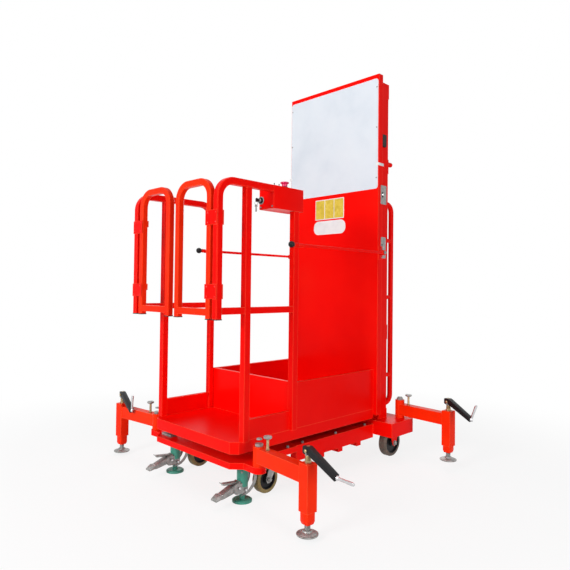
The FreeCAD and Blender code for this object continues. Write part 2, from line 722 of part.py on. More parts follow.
def control_box():
    inner = size.GuardX + size.Tube / 2 - size.BoxWide
    outer = size.GuardX + size.Tube / 2
    outline = [
        (inner, size.RailTop - size.BoxHigh),
        (outer, size.RailTop - size.BoxHigh),
        (outer, size.RailTop),
        (inner, size.RailTop),
    ]
    case = prism("XZ", outline, "FrontY + BoxFrontY", "BoxLong", "BoxRound")
    node(case, "control_box")
    radius = size.ButtonThick / 2
    high = size.ButtonHigh
    mushroom = [
        (0, 0), (0.8 * radius, 0), (0.8 * radius, high / 6), (radius / 2, high / 6), (radius / 2, 0.42 * high),
        (0.9 * radius, 0.42 * high), (radius, 0.54 * high), (radius, 0.7 * high),
        (0.85 * radius, 0.88 * high), (radius / 2, 0.96 * high), (0, high),
    ]
    button = lathe("z", mushroom, "GuardX - ButtonIn", "FrontY + BoxFrontY + ButtonY", "RailTop")
    node(button, "stop_button")


# Mast


def channel(x_web, x_open, y_from, y_to, z_from, z_to, wall):
    """A rail with its web at x_web and its flanges reaching to x_open."""
    low, high = sorted((x_web, x_open))
    inner_from, inner_to = (low, high - wall) if x_web > x_open else (low + wall, high)
    outer = Part.makeBox(high - low, y_to - y_from, z_to - z_from, FreeCAD.Vector(low, y_from, z_from))
    hollow = Part.makeBox(
        inner_to - inner_from, y_to - y_from - 2 * wall, z_to - z_from,
        FreeCAD.Vector(inner_from, y_from + wall, z_from),
    )
    rail = doc.addObject("Part::Feature", "Rail")
    rail.Shape = outer.cut(hollow)
    return rail


def outer_mast():
    front = size.FrontY + size.MastFrontY
    half = size.MastWide / 2
    pieces = []
    for name, side in SIDES:
        pieces.append(channel(
            side * half, side * (half - size.RailWide), front, front + size.RailDeep,
            size.RearTop, size.OuterTop, size.RailWall,
        ))
    back = "FrontY + MastFrontY + RailDeep"
    ties = [
        ("RearTop", "HandleFoot - HandleThick"),
        ("TieLow", "TieLow + TieHigh"),
        ("TieUpper", "TieUpper + TieHigh"),
        ("OuterTop - TieHigh", "OuterTop"),
    ]
    for z_from, z_to in ties:
        pieces.append(box("-MastWide / 2", "MastWide / 2", back, back + " + RailWall", z_from, z_to))
    node(fuse(*pieces), "outer_mast")
    # a plastic block on the right rail and a domed cap behind the left one's end
    block = box("MastWide / 2", "MastWide / 2 + PadOut", "FrontY + MastFrontY",
                "FrontY + MastFrontY + RailDeep / 2", "PadFoot", "PadFoot + PadLong")
    radius = size.CapThick / 2
    shoulder = size.CapHigh - size.CapDome
    dome = [
        (0, 0), (radius, 0), (radius, shoulder), (0.85 * radius, shoulder + 0.6 * size.CapDome),
        (0.5 * radius, shoulder + 0.9 * size.CapDome), (0, size.CapHigh),
    ]
    cap = lathe("z", dome, "(RailWide - MastWide) / 2", "FrontY + MastFrontY + RailDeep / 2", "OuterTop")
    node(group(block, cap), "mast_pads")


def inner_mast():
    """Two channels that run inside the outer ones, tied behind and under the top plate."""
    front = size.FrontY + size.MastFrontY + size.InnerGap
    back = size.FrontY + size.MastFrontY + size.RailDeep - size.InnerGap
    half = size.MastWide / 2 - size.RailWide - size.InnerGap
    foot = size.InnerFoot
    top = foot + size.InnerLong
    pieces = []
    for name, side in SIDES:
        pieces.append(channel(
            side * half, side * (half - size.InnerWide), front, back, foot, top, size.RailWall,
        ))
    tip = "(MastWide / 2 - RailWide - InnerGap - InnerWide)"
    back = "FrontY + MastFrontY + RailDeep - InnerGap"
    for z_from in ("InnerFoot", "InnerFoot + InnerLong / 2", "InnerFoot + InnerLong - TieHigh"):
        pieces.append(box("-" + tip, tip, back + " - RailWall", back, z_from, z_from + " + TieHigh"))
    pieces.append(box(
        "-" + tip, tip, "FrontY + MastFrontY + InnerGap", back,
        "InnerFoot + InnerLong - 2 * RailWall", "InnerFoot + InnerLong",
    ))
    node(fuse(*pieces), "inner_mast")


def rollers(web_x, slot, heights, name):
    """Rollers on stub axles that stand outwards from two webs into a slot of the next rail."""
    rolls = []
    y = "FrontY + MastFrontY + RailDeep / 2"
    for z in heights:
        axle = rod("x", "AxleThick", "2 * InnerGap", web_x, y, z)
        roll = rod("x", slot + " - 2 * FaceGap", "RollerWide", web_x + " + 2 * InnerGap", y, z)
        right = fuse(axle, roll)
        rolls += [right, mirrored(right)]
    node(group(*rolls), name)


def mast_rollers():
    inner_web = "(MastWide / 2 - RailWide - InnerGap)"
    first = "InnerFoot + RollerFoot"
    rollers(inner_web, "RailDeep - 2 * RailWall", [first, first + " + RollerStep"], "mast_rollers")
    carriage_web = "(MastWide / 2 - RailWide - 2 * InnerGap - InnerWide)"
    first = "CarriageFoot + CarriageRoller"
    rollers(carriage_web, "RailDeep - 2 * InnerGap - 2 * RailWall", [first, first + " + CarriageStep"],
            "carriage_rollers")


def lift_cylinder():
    y = "FrontY + MastFrontY + InnerGap + RodThick / 2"
    barrel = rod("z", "BarrelThick", "BarrelTop - RearTop", "0", y, "RearTop")
    bore = rod("z", "RodThick + 2 * RunGap", "BarrelTop - RearTop", "0", y, "RearTop + BarrelFloor")
    node(cut(barrel, bore), "lift_barrel")
    foot = "RearTop + BarrelFloor + RodRest"
    shaft = rod("z", "RodThick", "InnerFoot + InnerLong - 2 * RailWall - (%s)" % foot, "0", y, foot)
    node(shaft, "lift_rod")


def lift_chains():
    """Chain over a sheave on each side of the rod, from the carriage to the top of the barrel."""
    radius = size.SheaveThick / 2
    axle_z = "InnerFoot + InnerLong - SheaveDrop"
    axle_y = "FrontY + SheaveY"
    rim = radius + size.SheaveRim
    inner = size.ChainWide / 2 + size.FaceGap
    outer = inner + size.SheaveSide
    half = [(0, outer), (rim, outer), (rim, inner + size.FaceGap), (radius, inner)]
    outline = half + [(reach, -height) for reach, height in reversed(half)]
    sheave = lathe("x", outline, "ChainX", axle_y, axle_z)
    ring = rod("x", "SheaveThick + 2 * ChainThick", "ChainWide", "ChainX - ChainWide / 2", axle_y, axle_z)
    lower = box("ChainX - ChainWide", "ChainX + ChainWide", axle_y + " - SheaveThick", axle_y + " + SheaveThick",
                axle_z + " - SheaveThick", axle_z)
    pieces = [sheave, cut(ring, lower)]
    for edge, foot in (("- SheaveThick / 2 - ChainThick", "CarriageFoot + CarriageHigh - CarriageBar"),
                       ("+ SheaveThick / 2", "BarrelTop + BarrelThick")):
        start = "%s %s" % (axle_y, edge)
        pieces.append(box("ChainX - ChainWide / 2", "ChainX + ChainWide / 2", start, start + " + ChainThick",
                          foot, axle_z))
    # each sheave hangs under the mast's top plate by a plate on its outer side
    pieces.append(rod("x", "AxleThick", "2 * ChainWide", "ChainX", axle_y, axle_z))
    pieces.append(box("ChainX + ChainWide", "ChainX + 2 * ChainWide - HangerIn", axle_y + " - AxleThick",
                      axle_y + " + AxleThick", axle_z + " - AxleThick",
                      "InnerFoot + InnerLong - 2 * RailWall"))
    right = fuse(*pieces)
    node(group(right, mirrored(right)), "lift_chains")


def carriage():
    face = "FrontY + DeckLong + Sheet"
    half = "(MastWide / 2 - RailWide - 2 * InnerGap - InnerWide)"
    back = "FrontY + MastFrontY + RailDeep - 2 * InnerGap - 2 * RailWall"
    top = "CarriageFoot + CarriageHigh"
    pieces = [
        box("-" + half, "CarriageThick - " + half, face, back, "CarriageFoot", top),
        box(half + " - CarriageThick", half, face, back, "CarriageFoot", top),
    ]
    for z in ("CarriageFoot", top + " - CarriageBar"):
        pieces.append(box("-" + half, half, face, face + " + CarriageThick", z, z + " + CarriageBar"))
    node(fuse(*pieces), "carriage")


# Push handles and power unit


def elbow(turn, y, z):
    """A quarter bend of the push handle in its upright plane, about a point."""
    bend = doc.addObject("Part::Torus", "Elbow")
    bind(bend, "Radius1", "HandleBend")
    bind(bend, "Radius2", "HandleThick / 2")
    bend.Angle3 = 90
    spin = FreeCAD.Rotation(FreeCAD.Vector(1, 0, 0), turn).multiply(AXES["x"])
    bend.Placement = FreeCAD.Placement(FreeCAD.Vector(), spin)
    return place(bend, "(MastWide - HandleThick) / 2", y, z)


def push_handles():
    x = "(MastWide - HandleThick) / 2"
    start = "FrontY + MastFrontY + RailDeep"
    level = "HandleY - MastFrontY - RailDeep"
    bend_y = "FrontY + HandleY - HandleBend"
    pieces = [
        rod("y", "HandleThick", level + " - HandleBend", x, start, "HandleTop"),
        elbow(90, bend_y, "HandleTop - HandleBend"),
        rod("z", "HandleThick", "HandleTop - HandleFoot - 2 * HandleBend", x, "FrontY + HandleY",
            "HandleFoot + HandleBend"),
        elbow(0, bend_y, "HandleFoot + HandleBend"),
        rod("y", "HandleThick", level + " - HandleBend", x, start, "HandleFoot"),
    ]
    for height in ("StubUpper", "StubMiddle", "StubLower"):
        pieces.append(rod("y", "StubThick", level, x, start, height))
    right = node(fuse(*pieces), "push_handle_right")
    mirror(right, "push_handle_left")


def power_unit():
    """Housing of pump and battery behind the mast, its upper edge sloped to the back."""
    near = size.FrontY + size.MastFrontY + size.RailDeep + size.RailWall
    far = near + size.UnitDeep
    top = size.RearTop + size.UnitHigh
    outline = [
        (near, size.RearTop),
        (far, size.RearTop),
        (far, top - size.UnitSlope),
        (far - size.UnitSlope / 2, top),
        (near, top),
    ]
    node(prism("YZ", outline, "-UnitWide / 2", "UnitWide"), "power_unit")


# Chassis


def chassis_frame():
    half = size.DeckWide / 2
    front = size.FrontY
    cham = size.DeckChamfer
    ear = size.EarOut
    px = size.FrontPivotX
    py = size.FrontY + size.FrontPivotY
    outline = []
    for side in (1, -1):
        flank = [
            (half - cham, front),
            (half + size.FrontFlare, front + cham + size.FrontFlare),
            (px, py - ear),
            (px, py + ear),
            (size.BeamOuterX, py + 3 * ear),
            (size.BeamOuterX, front + size.FrontDeep),
        ]
        points = [(side * u, v) for u, v in flank]
        outline += points if side > 0 else points[::-1]
    slab = prism("XY", outline, "FrontFoot", "FrontTop - FrontFoot")
    hollow = box("PlateThick - BeamOuterX", "BeamOuterX - PlateThick", "FrontY + PlateThick + DeckChamfer",
                 "FrontY + FrontDeep - PlateThick", "FrontFoot", "FrontTop - PlateThick")
    pieces = [cut(slab, hollow)]
    for sign in (1, -1):
        pieces.append(rod("z", "2 * EarOut", "FrontTop - FrontFoot", "%d * FrontPivotX" % sign,
                          "FrontY + FrontPivotY", "FrontFoot"))
        x_from, x_to = ("BeamOuterX - BeamWide", "BeamOuterX") if sign > 0 else (
            "-BeamOuterX", "BeamWide - BeamOuterX")
        pieces.append(box(x_from, x_to, "FrontY + FrontDeep - BeamLap", "FrontY + RearY", "BeamFoot", "BeamTop"))
        for piece, wide in (("Caster", "SeatWide"), ("Lock", "LockSeat")):
            x = "%d * %sX" % (sign, piece)
            y = "FrontY + %sY" % piece
            pieces.append(box("%s - %s / 2" % (x, wide), "%s + %s / 2" % (x, wide), "%s - %s / 2" % (y, wide),
                              "%s + %s / 2" % (y, wide), "FrontFoot", "FrontTop - PlateThick"))
    for y in ("CrossOne", "CrossTwo", "CrossThree"):
        pieces.append(box("-BeamOuterX", "BeamOuterX", "FrontY + " + y, "FrontY + %s + CrossWide" % y,
                          "BeamFoot - CrossDrop", "BeamFoot"))
    rear_y = "FrontY + RearY"
    pieces += [
        box("-RearWide / 2", "RearWide / 2", rear_y, rear_y + " + RearDeep", "RearTop - PlateThick", "RearTop"),
        box("-RearWide / 2", "RearWide / 2", rear_y, rear_y + " + PlateThick", "RearFoot", "RearTop"),
        box("-RearWide / 2", "RearWide / 2", rear_y + " + RearDeep - PlateThick", rear_y + " + RearDeep",
            "RearFoot", "RearTop"),
    ]
    # outside each rear wheel a plate that narrows to a round tip about the axle
    wheel_y = size.FrontY + size.WheelY
    outline = [
        (wheel_y - size.WheelPlateDeep / 2, size.RearTop - size.PlateThick),
        (wheel_y - size.WheelPlateDeep / 2, size.RearFoot),
        (wheel_y - size.WheelPlateTip / 2, size.WheelThick / 2),
        (wheel_y + size.WheelPlateTip / 2, size.WheelThick / 2),
        (wheel_y + size.WheelPlateDeep / 2, size.RearFoot),
        (wheel_y + size.WheelPlateDeep / 2, size.RearTop - size.PlateThick),
    ]
    for sign in (1, -1):
        reach = "RearWide / 2"
        x_from, x_to = (reach + " - PlateThick", reach) if sign > 0 else ("-" + reach, "PlateThick - " + reach)
        pieces.append(box(x_from, x_to, rear_y, rear_y + " + RearDeep", "RearFoot", "RearTop"))
        for edge in (-1, 1):
            near = "%d * WheelX + %d * (WheelTread / 2 + WheelPlateGap)" % (sign, edge)
            start = near if edge > 0 else near + " - PlateThick"
            pieces.append(prism("YZ", outline, start, "PlateThick"))
            pieces.append(rod("x", "WheelPlateTip", "PlateThick", start, "FrontY + WheelY", "WheelThick / 2"))
    node(fuse(*pieces), "chassis_frame")


# Outriggers
# Columns: name, side, end, degrees that the crank is turned from its arm, degrees that its grip rises
CORNERS = [
    ("front_right", 1, "Front", 0, 0),
    ("front_left", -1, "Front", 164, 84),
    ("rear_right", 1, "Rear", -13, 66),
    ("rear_left", -1, "Rear", 0, 0),
]


def crank(hub_z, turn, rise):
    """Folded bar, open below, that slopes down from the spindle's top to a folding grip."""
    half = size.CrankWide / 2
    wall = size.CrankWall
    reach = size.CrankReach
    drop = size.CrankDrop
    outside = [
        (-half, -size.CrankDeep), (half, -size.CrankDeep), (reach, -drop - size.CrankTip),
        (reach, -drop), (half, 0), (-half, 0),
    ]
    below = size.CrankDeep
    inside = [
        (-half + wall, -size.CrankDeep - below), (half, -size.CrankDeep - below),
        (reach - wall, -drop - size.CrankTip - below), (reach - wall, -drop - wall),
        (half, -wall), (-half + wall, -wall),
    ]
    bar = cut(
        prism("XZ", outside, "-CrankWide / 2", "CrankWide"),
        prism("XZ", inside, "CrankWall - CrankWide / 2", "CrankWide - 2 * CrankWall"),
    )
    grip = rod("x", "GripThick", "GripLong + GripIn", "0", "0", "0")
    grip.Placement = FreeCAD.Placement(FreeCAD.Vector(), FreeCAD.Rotation(FreeCAD.Vector(0, 1, 0), 90 - rise))
    place(grip, "CrankReach - GripIn", "0", "-CrankDrop - CrankTip / 2")
    piece = fuse(bar, grip)
    spin = FreeCAD.Rotation(FreeCAD.Vector(0, 0, 1), turn)
    piece.Placement = FreeCAD.Placement(FreeCAD.Vector(size.ArmLong, 0, hub_z), spin)
    return piece


def outriggers():
    pins = []
    foot_outline = [
        (0, 0), (size.FootThick / 2, 0), (size.FootThick / 2, size.FootRim),
        (size.FootThick / 2 - size.FootRim, size.FootRim), (0.3 * size.FootThick, size.FootHigh - 2),
        (size.FootScrew / 2, size.FootHigh), (size.FootScrew / 2, size.FootHigh + size.FootNeck),
        (0, size.FootHigh + size.FootNeck),
    ]
    for name, side, end, turn, rise in CORNERS:
        pivot_x = getattr(size, end + "PivotX")
        pivot_y = size.FrontY + getattr(size, end + "PivotY")
        swing = -getattr(size, "Swing" + end)
        seat = end + "Top" + " + RunGap"
        over = end + "BossOver"
        clear = end + "FootClear"
        angle = swing if side > 0 else 180 - swing
        arm_z = seat + " + ArmLift"
        boss = rod("z", "BossThick", "ArmLift + ArmHigh + " + over, "0", "0", seat)
        bore = rod("z", "PivotThick + 2 * RunGap", "ArmLift + 2 * ArmHigh", "0", "0", seat + " - ArmLift / 2")
        arm = box("0", "ArmLong", "-ArmWide / 2", "ArmWide / 2", arm_z, arm_z + " + ArmHigh")
        leg_top = arm_z + " + ArmHigh + LegOver"
        leg = box("ArmLong - LegTube / 2", "ArmLong + LegTube / 2", "-LegTube / 2", "LegTube / 2",
                  leg_top + " - LegHigh", leg_top)
        hollow = box("ArmLong - LegTube / 2 + LegWall", "ArmLong + LegTube / 2 - LegWall",
                     "LegWall - LegTube / 2", "LegTube / 2 - LegWall",
                     leg_top + " - LegHigh", leg_top + " - PlateThick")
        arm_piece = cut(fuse(boss, arm, leg), bore, hollow)
        node(turned(arm_piece, angle, side * pivot_x, pivot_y), "outrigger_" + name)
        inner_foot = clear + " + FootHigh + FootNeck"
        inner = box(
            "ArmLong - LegTube / 2 + LegWall + RunGap", "ArmLong + LegTube / 2 - LegWall - RunGap",
            "LegWall + RunGap - LegTube / 2", "LegTube / 2 - LegWall - RunGap",
            inner_foot, inner_foot + " + InnerLegHigh",
        )
        pad = lathe("z", foot_outline, "ArmLong", "0", clear)
        node(turned(fuse(inner, pad), angle, side * pivot_x, pivot_y), "leg_foot_" + name)
        pin = rod("z", "PivotThick", "ArmLift + ArmHigh + %s + 2 * RunGap" % over, "0", "0", end + "Top")
        cap = rod("z", "CapWide", "PivotCap", "0", "0", seat + " + ArmLift + ArmHigh + RunGap + " + over)
        pins.append(turned(fuse(pin, cap), angle, side * pivot_x, pivot_y))
        stem = rod("z", "LockPinThick", "LockPinHigh", "LockPinX", "0", arm_z + " + ArmHigh")
        head = rod("z", "CapWide", "LockPinHead", "LockPinX", "0", arm_z + " + ArmHigh + LockPinHigh")
        taper = [
            (0, 0), (size.SpindleFoot / 2, 0), (size.SpindleThick / 2, 0.7 * size.SpindleHigh),
            (size.SpindleThick / 2, size.SpindleHigh), (0, size.SpindleHigh),
        ]
        spindle = lathe("z", taper, "ArmLong", "0", leg_top)
        hub_z = getattr(size, end + "Top") + size.RunGap + size.ArmLift + size.ArmHigh + size.LegOver
        hub_z += size.SpindleHigh
        controls = group(fuse(stem, head), fuse(spindle, crank(hub_z, turn, rise)))
        node(turned(controls, angle, side * pivot_x, pivot_y), "crank_and_pin_" + name)
    node(group(*pins), "pivot_pins")


# Wheels


def wheel(thick, tread, x, y, name):
    """A wheel about the X axis: tread with cut edges, rim, recessed web and hub."""
    outer = getattr(size, thick) / 2
    side = getattr(size, tread) / 2
    web = side - size.WebInset
    rim = outer - size.RimDeep
    hub = size.HubThick / 2
    bore = size.AxleThick / 2 + size.RunGap
    edge = size.TreadRound
    quarter = [
        (bore, side), (hub, side), (hub, web), (rim, web), (rim, side), (outer - edge, side),
        (outer, side - edge),
    ]
    outline = quarter + [(radius, -height) for radius, height in reversed(quarter)]
    return node(lathe("x", outline, x, y, thick + " / 2"), name)


def front_casters():
    for name, side in SIDES:
        x = "%d * CasterX" % side
        swivel_y = size.FrontY + size.CasterY
        wheel_y = swivel_y - size.CasterTrail
        wheel("CasterThick", "CasterTread", x, "FrontY + CasterY - CasterTrail", "caster_wheel_" + name)
        crown_z = size.CasterThick + size.CrownHigh
        tip = size.AxleThick
        deep = size.ForkDeep / 2
        outline = [
            (wheel_y - tip, size.CasterThick / 2),
            (wheel_y - tip / 2, size.CasterThick / 2 - tip),
            (wheel_y + tip / 2, size.CasterThick / 2 - tip),
            (wheel_y + tip, size.CasterThick / 2),
            (swivel_y + deep, crown_z - 2 * size.ForkThick),
            (swivel_y + deep, crown_z),
            (swivel_y - deep, crown_z),
            (swivel_y - deep, crown_z - 2 * size.ForkThick),
        ]
        plates = []
        for edge in (-1, 1):
            near = "%s + %d * (CasterTread / 2 + ForkGap)" % (x, edge)
            plates.append(prism("YZ", outline, near if edge > 0 else near + " - ForkThick", "ForkThick"))
        half = "CasterTread / 2 + ForkGap + ForkThick"
        crown = box("%s - (%s)" % (x, half), "%s + (%s)" % (x, half), "FrontY + CasterY - ForkDeep / 2",
                    "FrontY + CasterY + ForkDeep / 2", "CasterThick + CrownHigh - ForkThick",
                    "CasterThick + CrownHigh")
        rise = size.FrontFoot - size.FaceGap - crown_z
        race = size.RaceThick / 2
        race_outline = [
            (0, 0), (0.8 * race, 0), (race, 0.3 * rise), (race, 0.6 * rise), (0.8 * race, rise), (0, rise),
        ]
        stem = lathe("z", race_outline, x, "FrontY + CasterY", "CasterThick + CrownHigh")
        axle = rod("x", "AxleThick", "2 * (%s)" % half, "%s - (%s)" % (x, half),
                   "FrontY + CasterY - CasterTrail", "CasterThick / 2")
        node(fuse(crown, stem, axle, *plates), "caster_fork_" + name)


def rear_wheels():
    axles = []
    for name, side in SIDES:
        x = "%d * WheelX" % side
        wheel("WheelThick", "WheelTread", x, "FrontY + WheelY", "rear_wheel_" + name)
        axles.append(rod("x", "AxleThick", "WheelTread + 2 * WheelPlateGap",
                         "%s - WheelTread / 2 - WheelPlateGap" % x, "FrontY + WheelY", "WheelThick / 2"))
    node(group(*axles), "rear_axles")


def pedal(x, y):
    """Stamped pedal, open below: it slopes from the housing down to a flat tip."""
    near = y - size.LockThick / 2 - size.FaceGap
    tip = y - size.PedalLong
    step = tip + size.PedalWide
    wall = size.PedalWall
    outside = [
        (near, size.PedalHigh), (step, size.PedalTip + 2 * wall), (tip, size.PedalTip + wall),
        (tip, size.PedalTip), (step, size.PedalTip), (near, size.PedalHigh - size.PedalDeep),
    ]
    inside = [
        (near - wall, size.PedalHigh - 2 * wall), (step, size.PedalTip + wall / 2),
        (step, 0), (near - wall, 0),
    ]
    return cut(
        prism("YZ", outside, x + " - PedalWide / 2", "PedalWide"),
        prism("YZ", inside, x + " - PedalWide / 2 + PedalWall", "PedalWide - 2 * PedalWall"),
    )


def floor_locks():
    housings = []
    pedals = []
    for name, side in SIDES:
        x = "%d * LockX" % side
        y = "FrontY + LockY"
        shell = rod("z", "LockThick", "FrontFoot - LockFoot", x, y, "LockFoot")
        bore = rod("z", "PlungerThick + 2 * RunGap", "PadStroke + PlungerIn", x, y, "LockFoot")
        housings.append(cut(shell, bore))
        pad_outline = [
            (0, 0), (size.PadThick / 2, 0), (size.PadThick / 2, size.PadHigh - 4),
            (size.PadThick / 2 - 6, size.PadHigh), (size.PlungerThick / 2, size.PadHigh),
            (size.PlungerThick / 2, size.LockFoot + size.PlungerIn), (0, size.LockFoot + size.PlungerIn),
        ]
        node(lathe("z", pad_outline, x, y, "0"), "lock_pad_" + name)
        centre = size.FrontY + size.LockY
        near = centre - size.LockThick / 2 - size.FaceGap
        tab_tip = centre - size.TabLong
        tab = prism("YZ", [
            (near, size.TabHigh), (tab_tip, size.TabTip), (tab_tip, size.TabTip - size.PedalWall),
            (near, size.TabHigh - size.PedalWall),
        ], x + " - TabWide / 2", "TabWide")
        pedals += [pedal(x, centre), tab]
    node(group(*housings), "floor_locks")
    node(group(*pedals), "lock_pedals")


for build in (
    platform_deck, toe_boards, stock_tray, back_panel, light_board, side_guards, leg_caps, gates,
    gate_hinges, drop_bars, control_box, outer_mast, inner_mast, mast_rollers, lift_cylinder, lift_chains,
    carriage, push_handles, power_unit, chassis_frame, outriggers, front_casters, rear_wheels, floor_locks,
):
    build()
doc.recompute()

# Nothing is written unless every step of the model is sound
faults = [obj.Name + " " + obj.Label for obj in doc.Objects
          if "Invalid" in obj.State or "Error" in obj.State]
for obj in nodes:
    shape = obj.Shape
    if shape.isNull() or not shape.isValid() or not shape.Solids:
        faults.append("shape of " + obj.Label)
if faults:
    raise RuntimeError("failed: " + ", ".join(faults))

os.makedirs("parts", exist_ok=True)
for obj in nodes:
    obj.Shape.exportStep(os.path.join("parts", obj.Label + ".step"))
print(len(nodes), "nodes written")
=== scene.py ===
import bpy
import math
from mathutils import Matrix, Vector


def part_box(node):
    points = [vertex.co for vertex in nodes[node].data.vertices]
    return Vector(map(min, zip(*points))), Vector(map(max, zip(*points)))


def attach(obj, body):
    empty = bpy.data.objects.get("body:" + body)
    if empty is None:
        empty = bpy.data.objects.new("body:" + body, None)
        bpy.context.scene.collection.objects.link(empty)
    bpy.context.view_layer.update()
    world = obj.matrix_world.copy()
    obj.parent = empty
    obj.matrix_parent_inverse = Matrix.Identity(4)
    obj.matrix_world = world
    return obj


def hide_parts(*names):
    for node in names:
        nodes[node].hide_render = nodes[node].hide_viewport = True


# An order picker truck: caged platform, stock tray, two-stage mast, four outriggers.
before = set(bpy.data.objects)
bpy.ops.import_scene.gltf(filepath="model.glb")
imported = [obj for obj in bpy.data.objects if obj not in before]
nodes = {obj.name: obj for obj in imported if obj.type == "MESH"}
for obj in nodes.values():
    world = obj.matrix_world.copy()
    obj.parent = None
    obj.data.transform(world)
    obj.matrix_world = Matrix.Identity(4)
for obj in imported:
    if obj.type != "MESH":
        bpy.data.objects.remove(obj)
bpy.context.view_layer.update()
print("frame loaded,", len(nodes), "nodes")


# Materials

def newMaterial(name):
    mat = bpy.data.materials.new(name)
    mat.use_nodes = True
    tree = mat.node_tree
    return mat, tree, tree.nodes["Principled BSDF"]


def addNode(tree, kind, values=None):
    # a new node, with values set on its inputs by name
    node = tree.nodes.new("ShaderNode" + kind)
    for socket, value in (values or {}).items():
        node.inputs[socket].default_value = value
    return node


def objectCoords(tree, scale=(1, 1, 1)):
    coords = addNode(tree, "TexCoord")
    mapping = addNode(tree, "Mapping", {"Scale": scale})
    tree.links.new(coords.outputs["Object"], mapping.inputs["Vector"])
    return mapping.outputs["Vector"]


def noise(tree, vector, scale, detail, rough=0.55):
    tex = addNode(tree, "TexNoise", {"Scale": scale, "Detail": detail, "Roughness": rough})
    tree.links.new(vector, tex.inputs["Vector"])
    return tex.outputs["Fac"]


def ramp(tree, value, stops):
    node = addNode(tree, "ValToRGB")
    band = node.color_ramp
    while len(band.elements) < len(stops):
        band.elements.new(0.5)
    for element, (place, colour) in zip(band.elements, stops):
        element.position = place
        element.color = (*colour, 1)
    tree.links.new(value, node.inputs["Fac"])
    return node.outputs["Color"]


def spread(tree, value, low, high):
    node = addNode(tree, "MapRange", {"To Min": low, "To Max": high})
    tree.links.new(value, node.inputs["Value"])
    return node.outputs["Result"]


def bump(tree, shader, height, strength, distance, soft):
    node = addNode(tree, "Bump", {"Strength": strength, "Distance": distance})
    tree.links.new(height, node.inputs["Height"])
    # folded and welded edges catch the light as if slightly rounded
    edge = addNode(tree, "Bevel", {"Radius": soft})
    edge.samples = 4
    tree.links.new(edge.outputs["Normal"], node.inputs["Normal"])
    tree.links.new(node.outputs["Normal"], shader.inputs["Normal"])


# how far a rounded normal turns from the flat one, where the painted edge tone starts and where it is full
paintedEdgeBand = {"starts": 0.995, "full": 0.86, "blotchSize": 14.0}


def powderPaint(name, look):
    # gloss powder coat: slow drift of tone, faint orange peel, and a painted edge tone along folds, welds and
    # edges: a painted highlight where a rounded edge would catch the light
    mat, tree, shader = newMaterial(name)
    vector = objectCoords(tree)
    drift = noise(tree, vector, look["drift"], 4.0)
    colour = ramp(tree, drift, [(0.30, look["deep"]), (0.52, look["bright"]), (0.78, look["dusty"])])
    rounded = addNode(tree, "Bevel", {"Radius": look["edgeWide"]})
    rounded.samples = 5
    surface = addNode(tree, "NewGeometry")
    bend = addNode(tree, "VectorMath")
    bend.operation = "DOT_PRODUCT"
    tree.links.new(rounded.outputs["Normal"], bend.inputs[0])
    tree.links.new(surface.outputs["Normal"], bend.inputs[1])
    # painted highlight: the edge tone is mixed in where the rounded normal turns away from the flat one
    paintedEdgeMask = addNode(tree, "MapRange", {
        "From Min": paintedEdgeBand["starts"], "From Max": paintedEdgeBand["full"], "To Max": look["edgeShare"],
    })
    tree.links.new(bend.outputs["Value"], paintedEdgeMask.inputs["Value"])
    blend = addNode(tree, "Mix")
    blend.data_type = "RGBA"
    blend.inputs["B"].default_value = (*look["edgeTone"], 1)
    tree.links.new(paintedEdgeMask.outputs["Result"], blend.inputs["Factor"])
    tree.links.new(colour, blend.inputs["A"])
    tree.links.new(blend.outputs["Result"], shader.inputs["Base Color"])
    blotch = noise(tree, vector, paintedEdgeBand["blotchSize"], 5.0)
    tree.links.new(spread(tree, blotch, *look["rough"]), shader.inputs["Roughness"])
    shader.inputs["Specular IOR Level"].default_value = look["shine"]
    peel = noise(tree, vector, look["peelSize"], 2.0)
    bump(tree, shader, peel, look["peelDepth"], 0.0005, look["edge"])
    return mat


# each look's painted edge tone is a painted highlight, paler than its paint; on the plate it draws the rim
# darker
redLook = {
    "bright": (0.93, 0.0025, 0.0008), "deep": (0.87, 0.0010, 0.0004), "dusty": (0.95, 0.0070, 0.0020),
    "edgeTone": (1.0, 0.115, 0.050), "edgeShare": 0.85, "edgeWide": 0.0030,
    "drift": 2.2, "rough": (0.26, 0.38), "shine": 0.055, "peelSize": 420.0, "peelDepth": 0.10, "edge": 0.0015,
}
# painted light: a copy of the red paint made oranger, standing in for the light on the front faces of the
# gates' and arms' tubes
litTubeLook = {
    "bright": (0.94, 0.026, 0.002), "deep": (0.90, 0.016, 0.001), "dusty": (0.95, 0.036, 0.004),
    "edgeTone": (1.0, 0.14, 0.045), "edgeShare": 0.85, "edgeWide": 0.0028,
    "drift": 3.0, "rough": (0.26, 0.38), "shine": 0.06, "peelSize": 420.0, "peelDepth": 0.10, "edge": 0.0015,
}
boardLook = {
    "bright": (0.70, 0.755, 0.81), "deep": (0.65, 0.71, 0.77), "dusty": (0.735, 0.785, 0.83),
    "edgeTone": (0.80, 0.81, 0.83), "edgeShare": 0.5, "edgeWide": 0.0015,
    "drift": 5.5, "rough": (0.42, 0.62), "shine": 0.3, "peelSize": 260.0, "peelDepth": 0.18, "edge": 0.0006,
}
greenLook = {
    "bright": (0.050, 0.300, 0.215), "deep": (0.028, 0.210, 0.150), "dusty": (0.105, 0.370, 0.285),
    "edgeTone": (0.22, 0.50, 0.42), "edgeShare": 0.6, "edgeWide": 0.0020,
    "drift": 9.0, "rough": (0.28, 0.45), "shine": 0.4, "peelSize": 300.0, "peelDepth": 0.2, "edge": 0.0012,
}
signLook = {
    "bright": (0.68, 0.50, 0.045), "deep": (0.56, 0.40, 0.03), "dusty": (0.76, 0.60, 0.12),
    "edgeTone": (0.80, 0.72, 0.45), "edgeShare": 0.6, "edgeWide": 0.0010,
    "drift": 60.0, "rough": (0.36, 0.5), "shine": 0.4, "peelSize": 500.0, "peelDepth": 0.05, "edge": 0.0004,
}
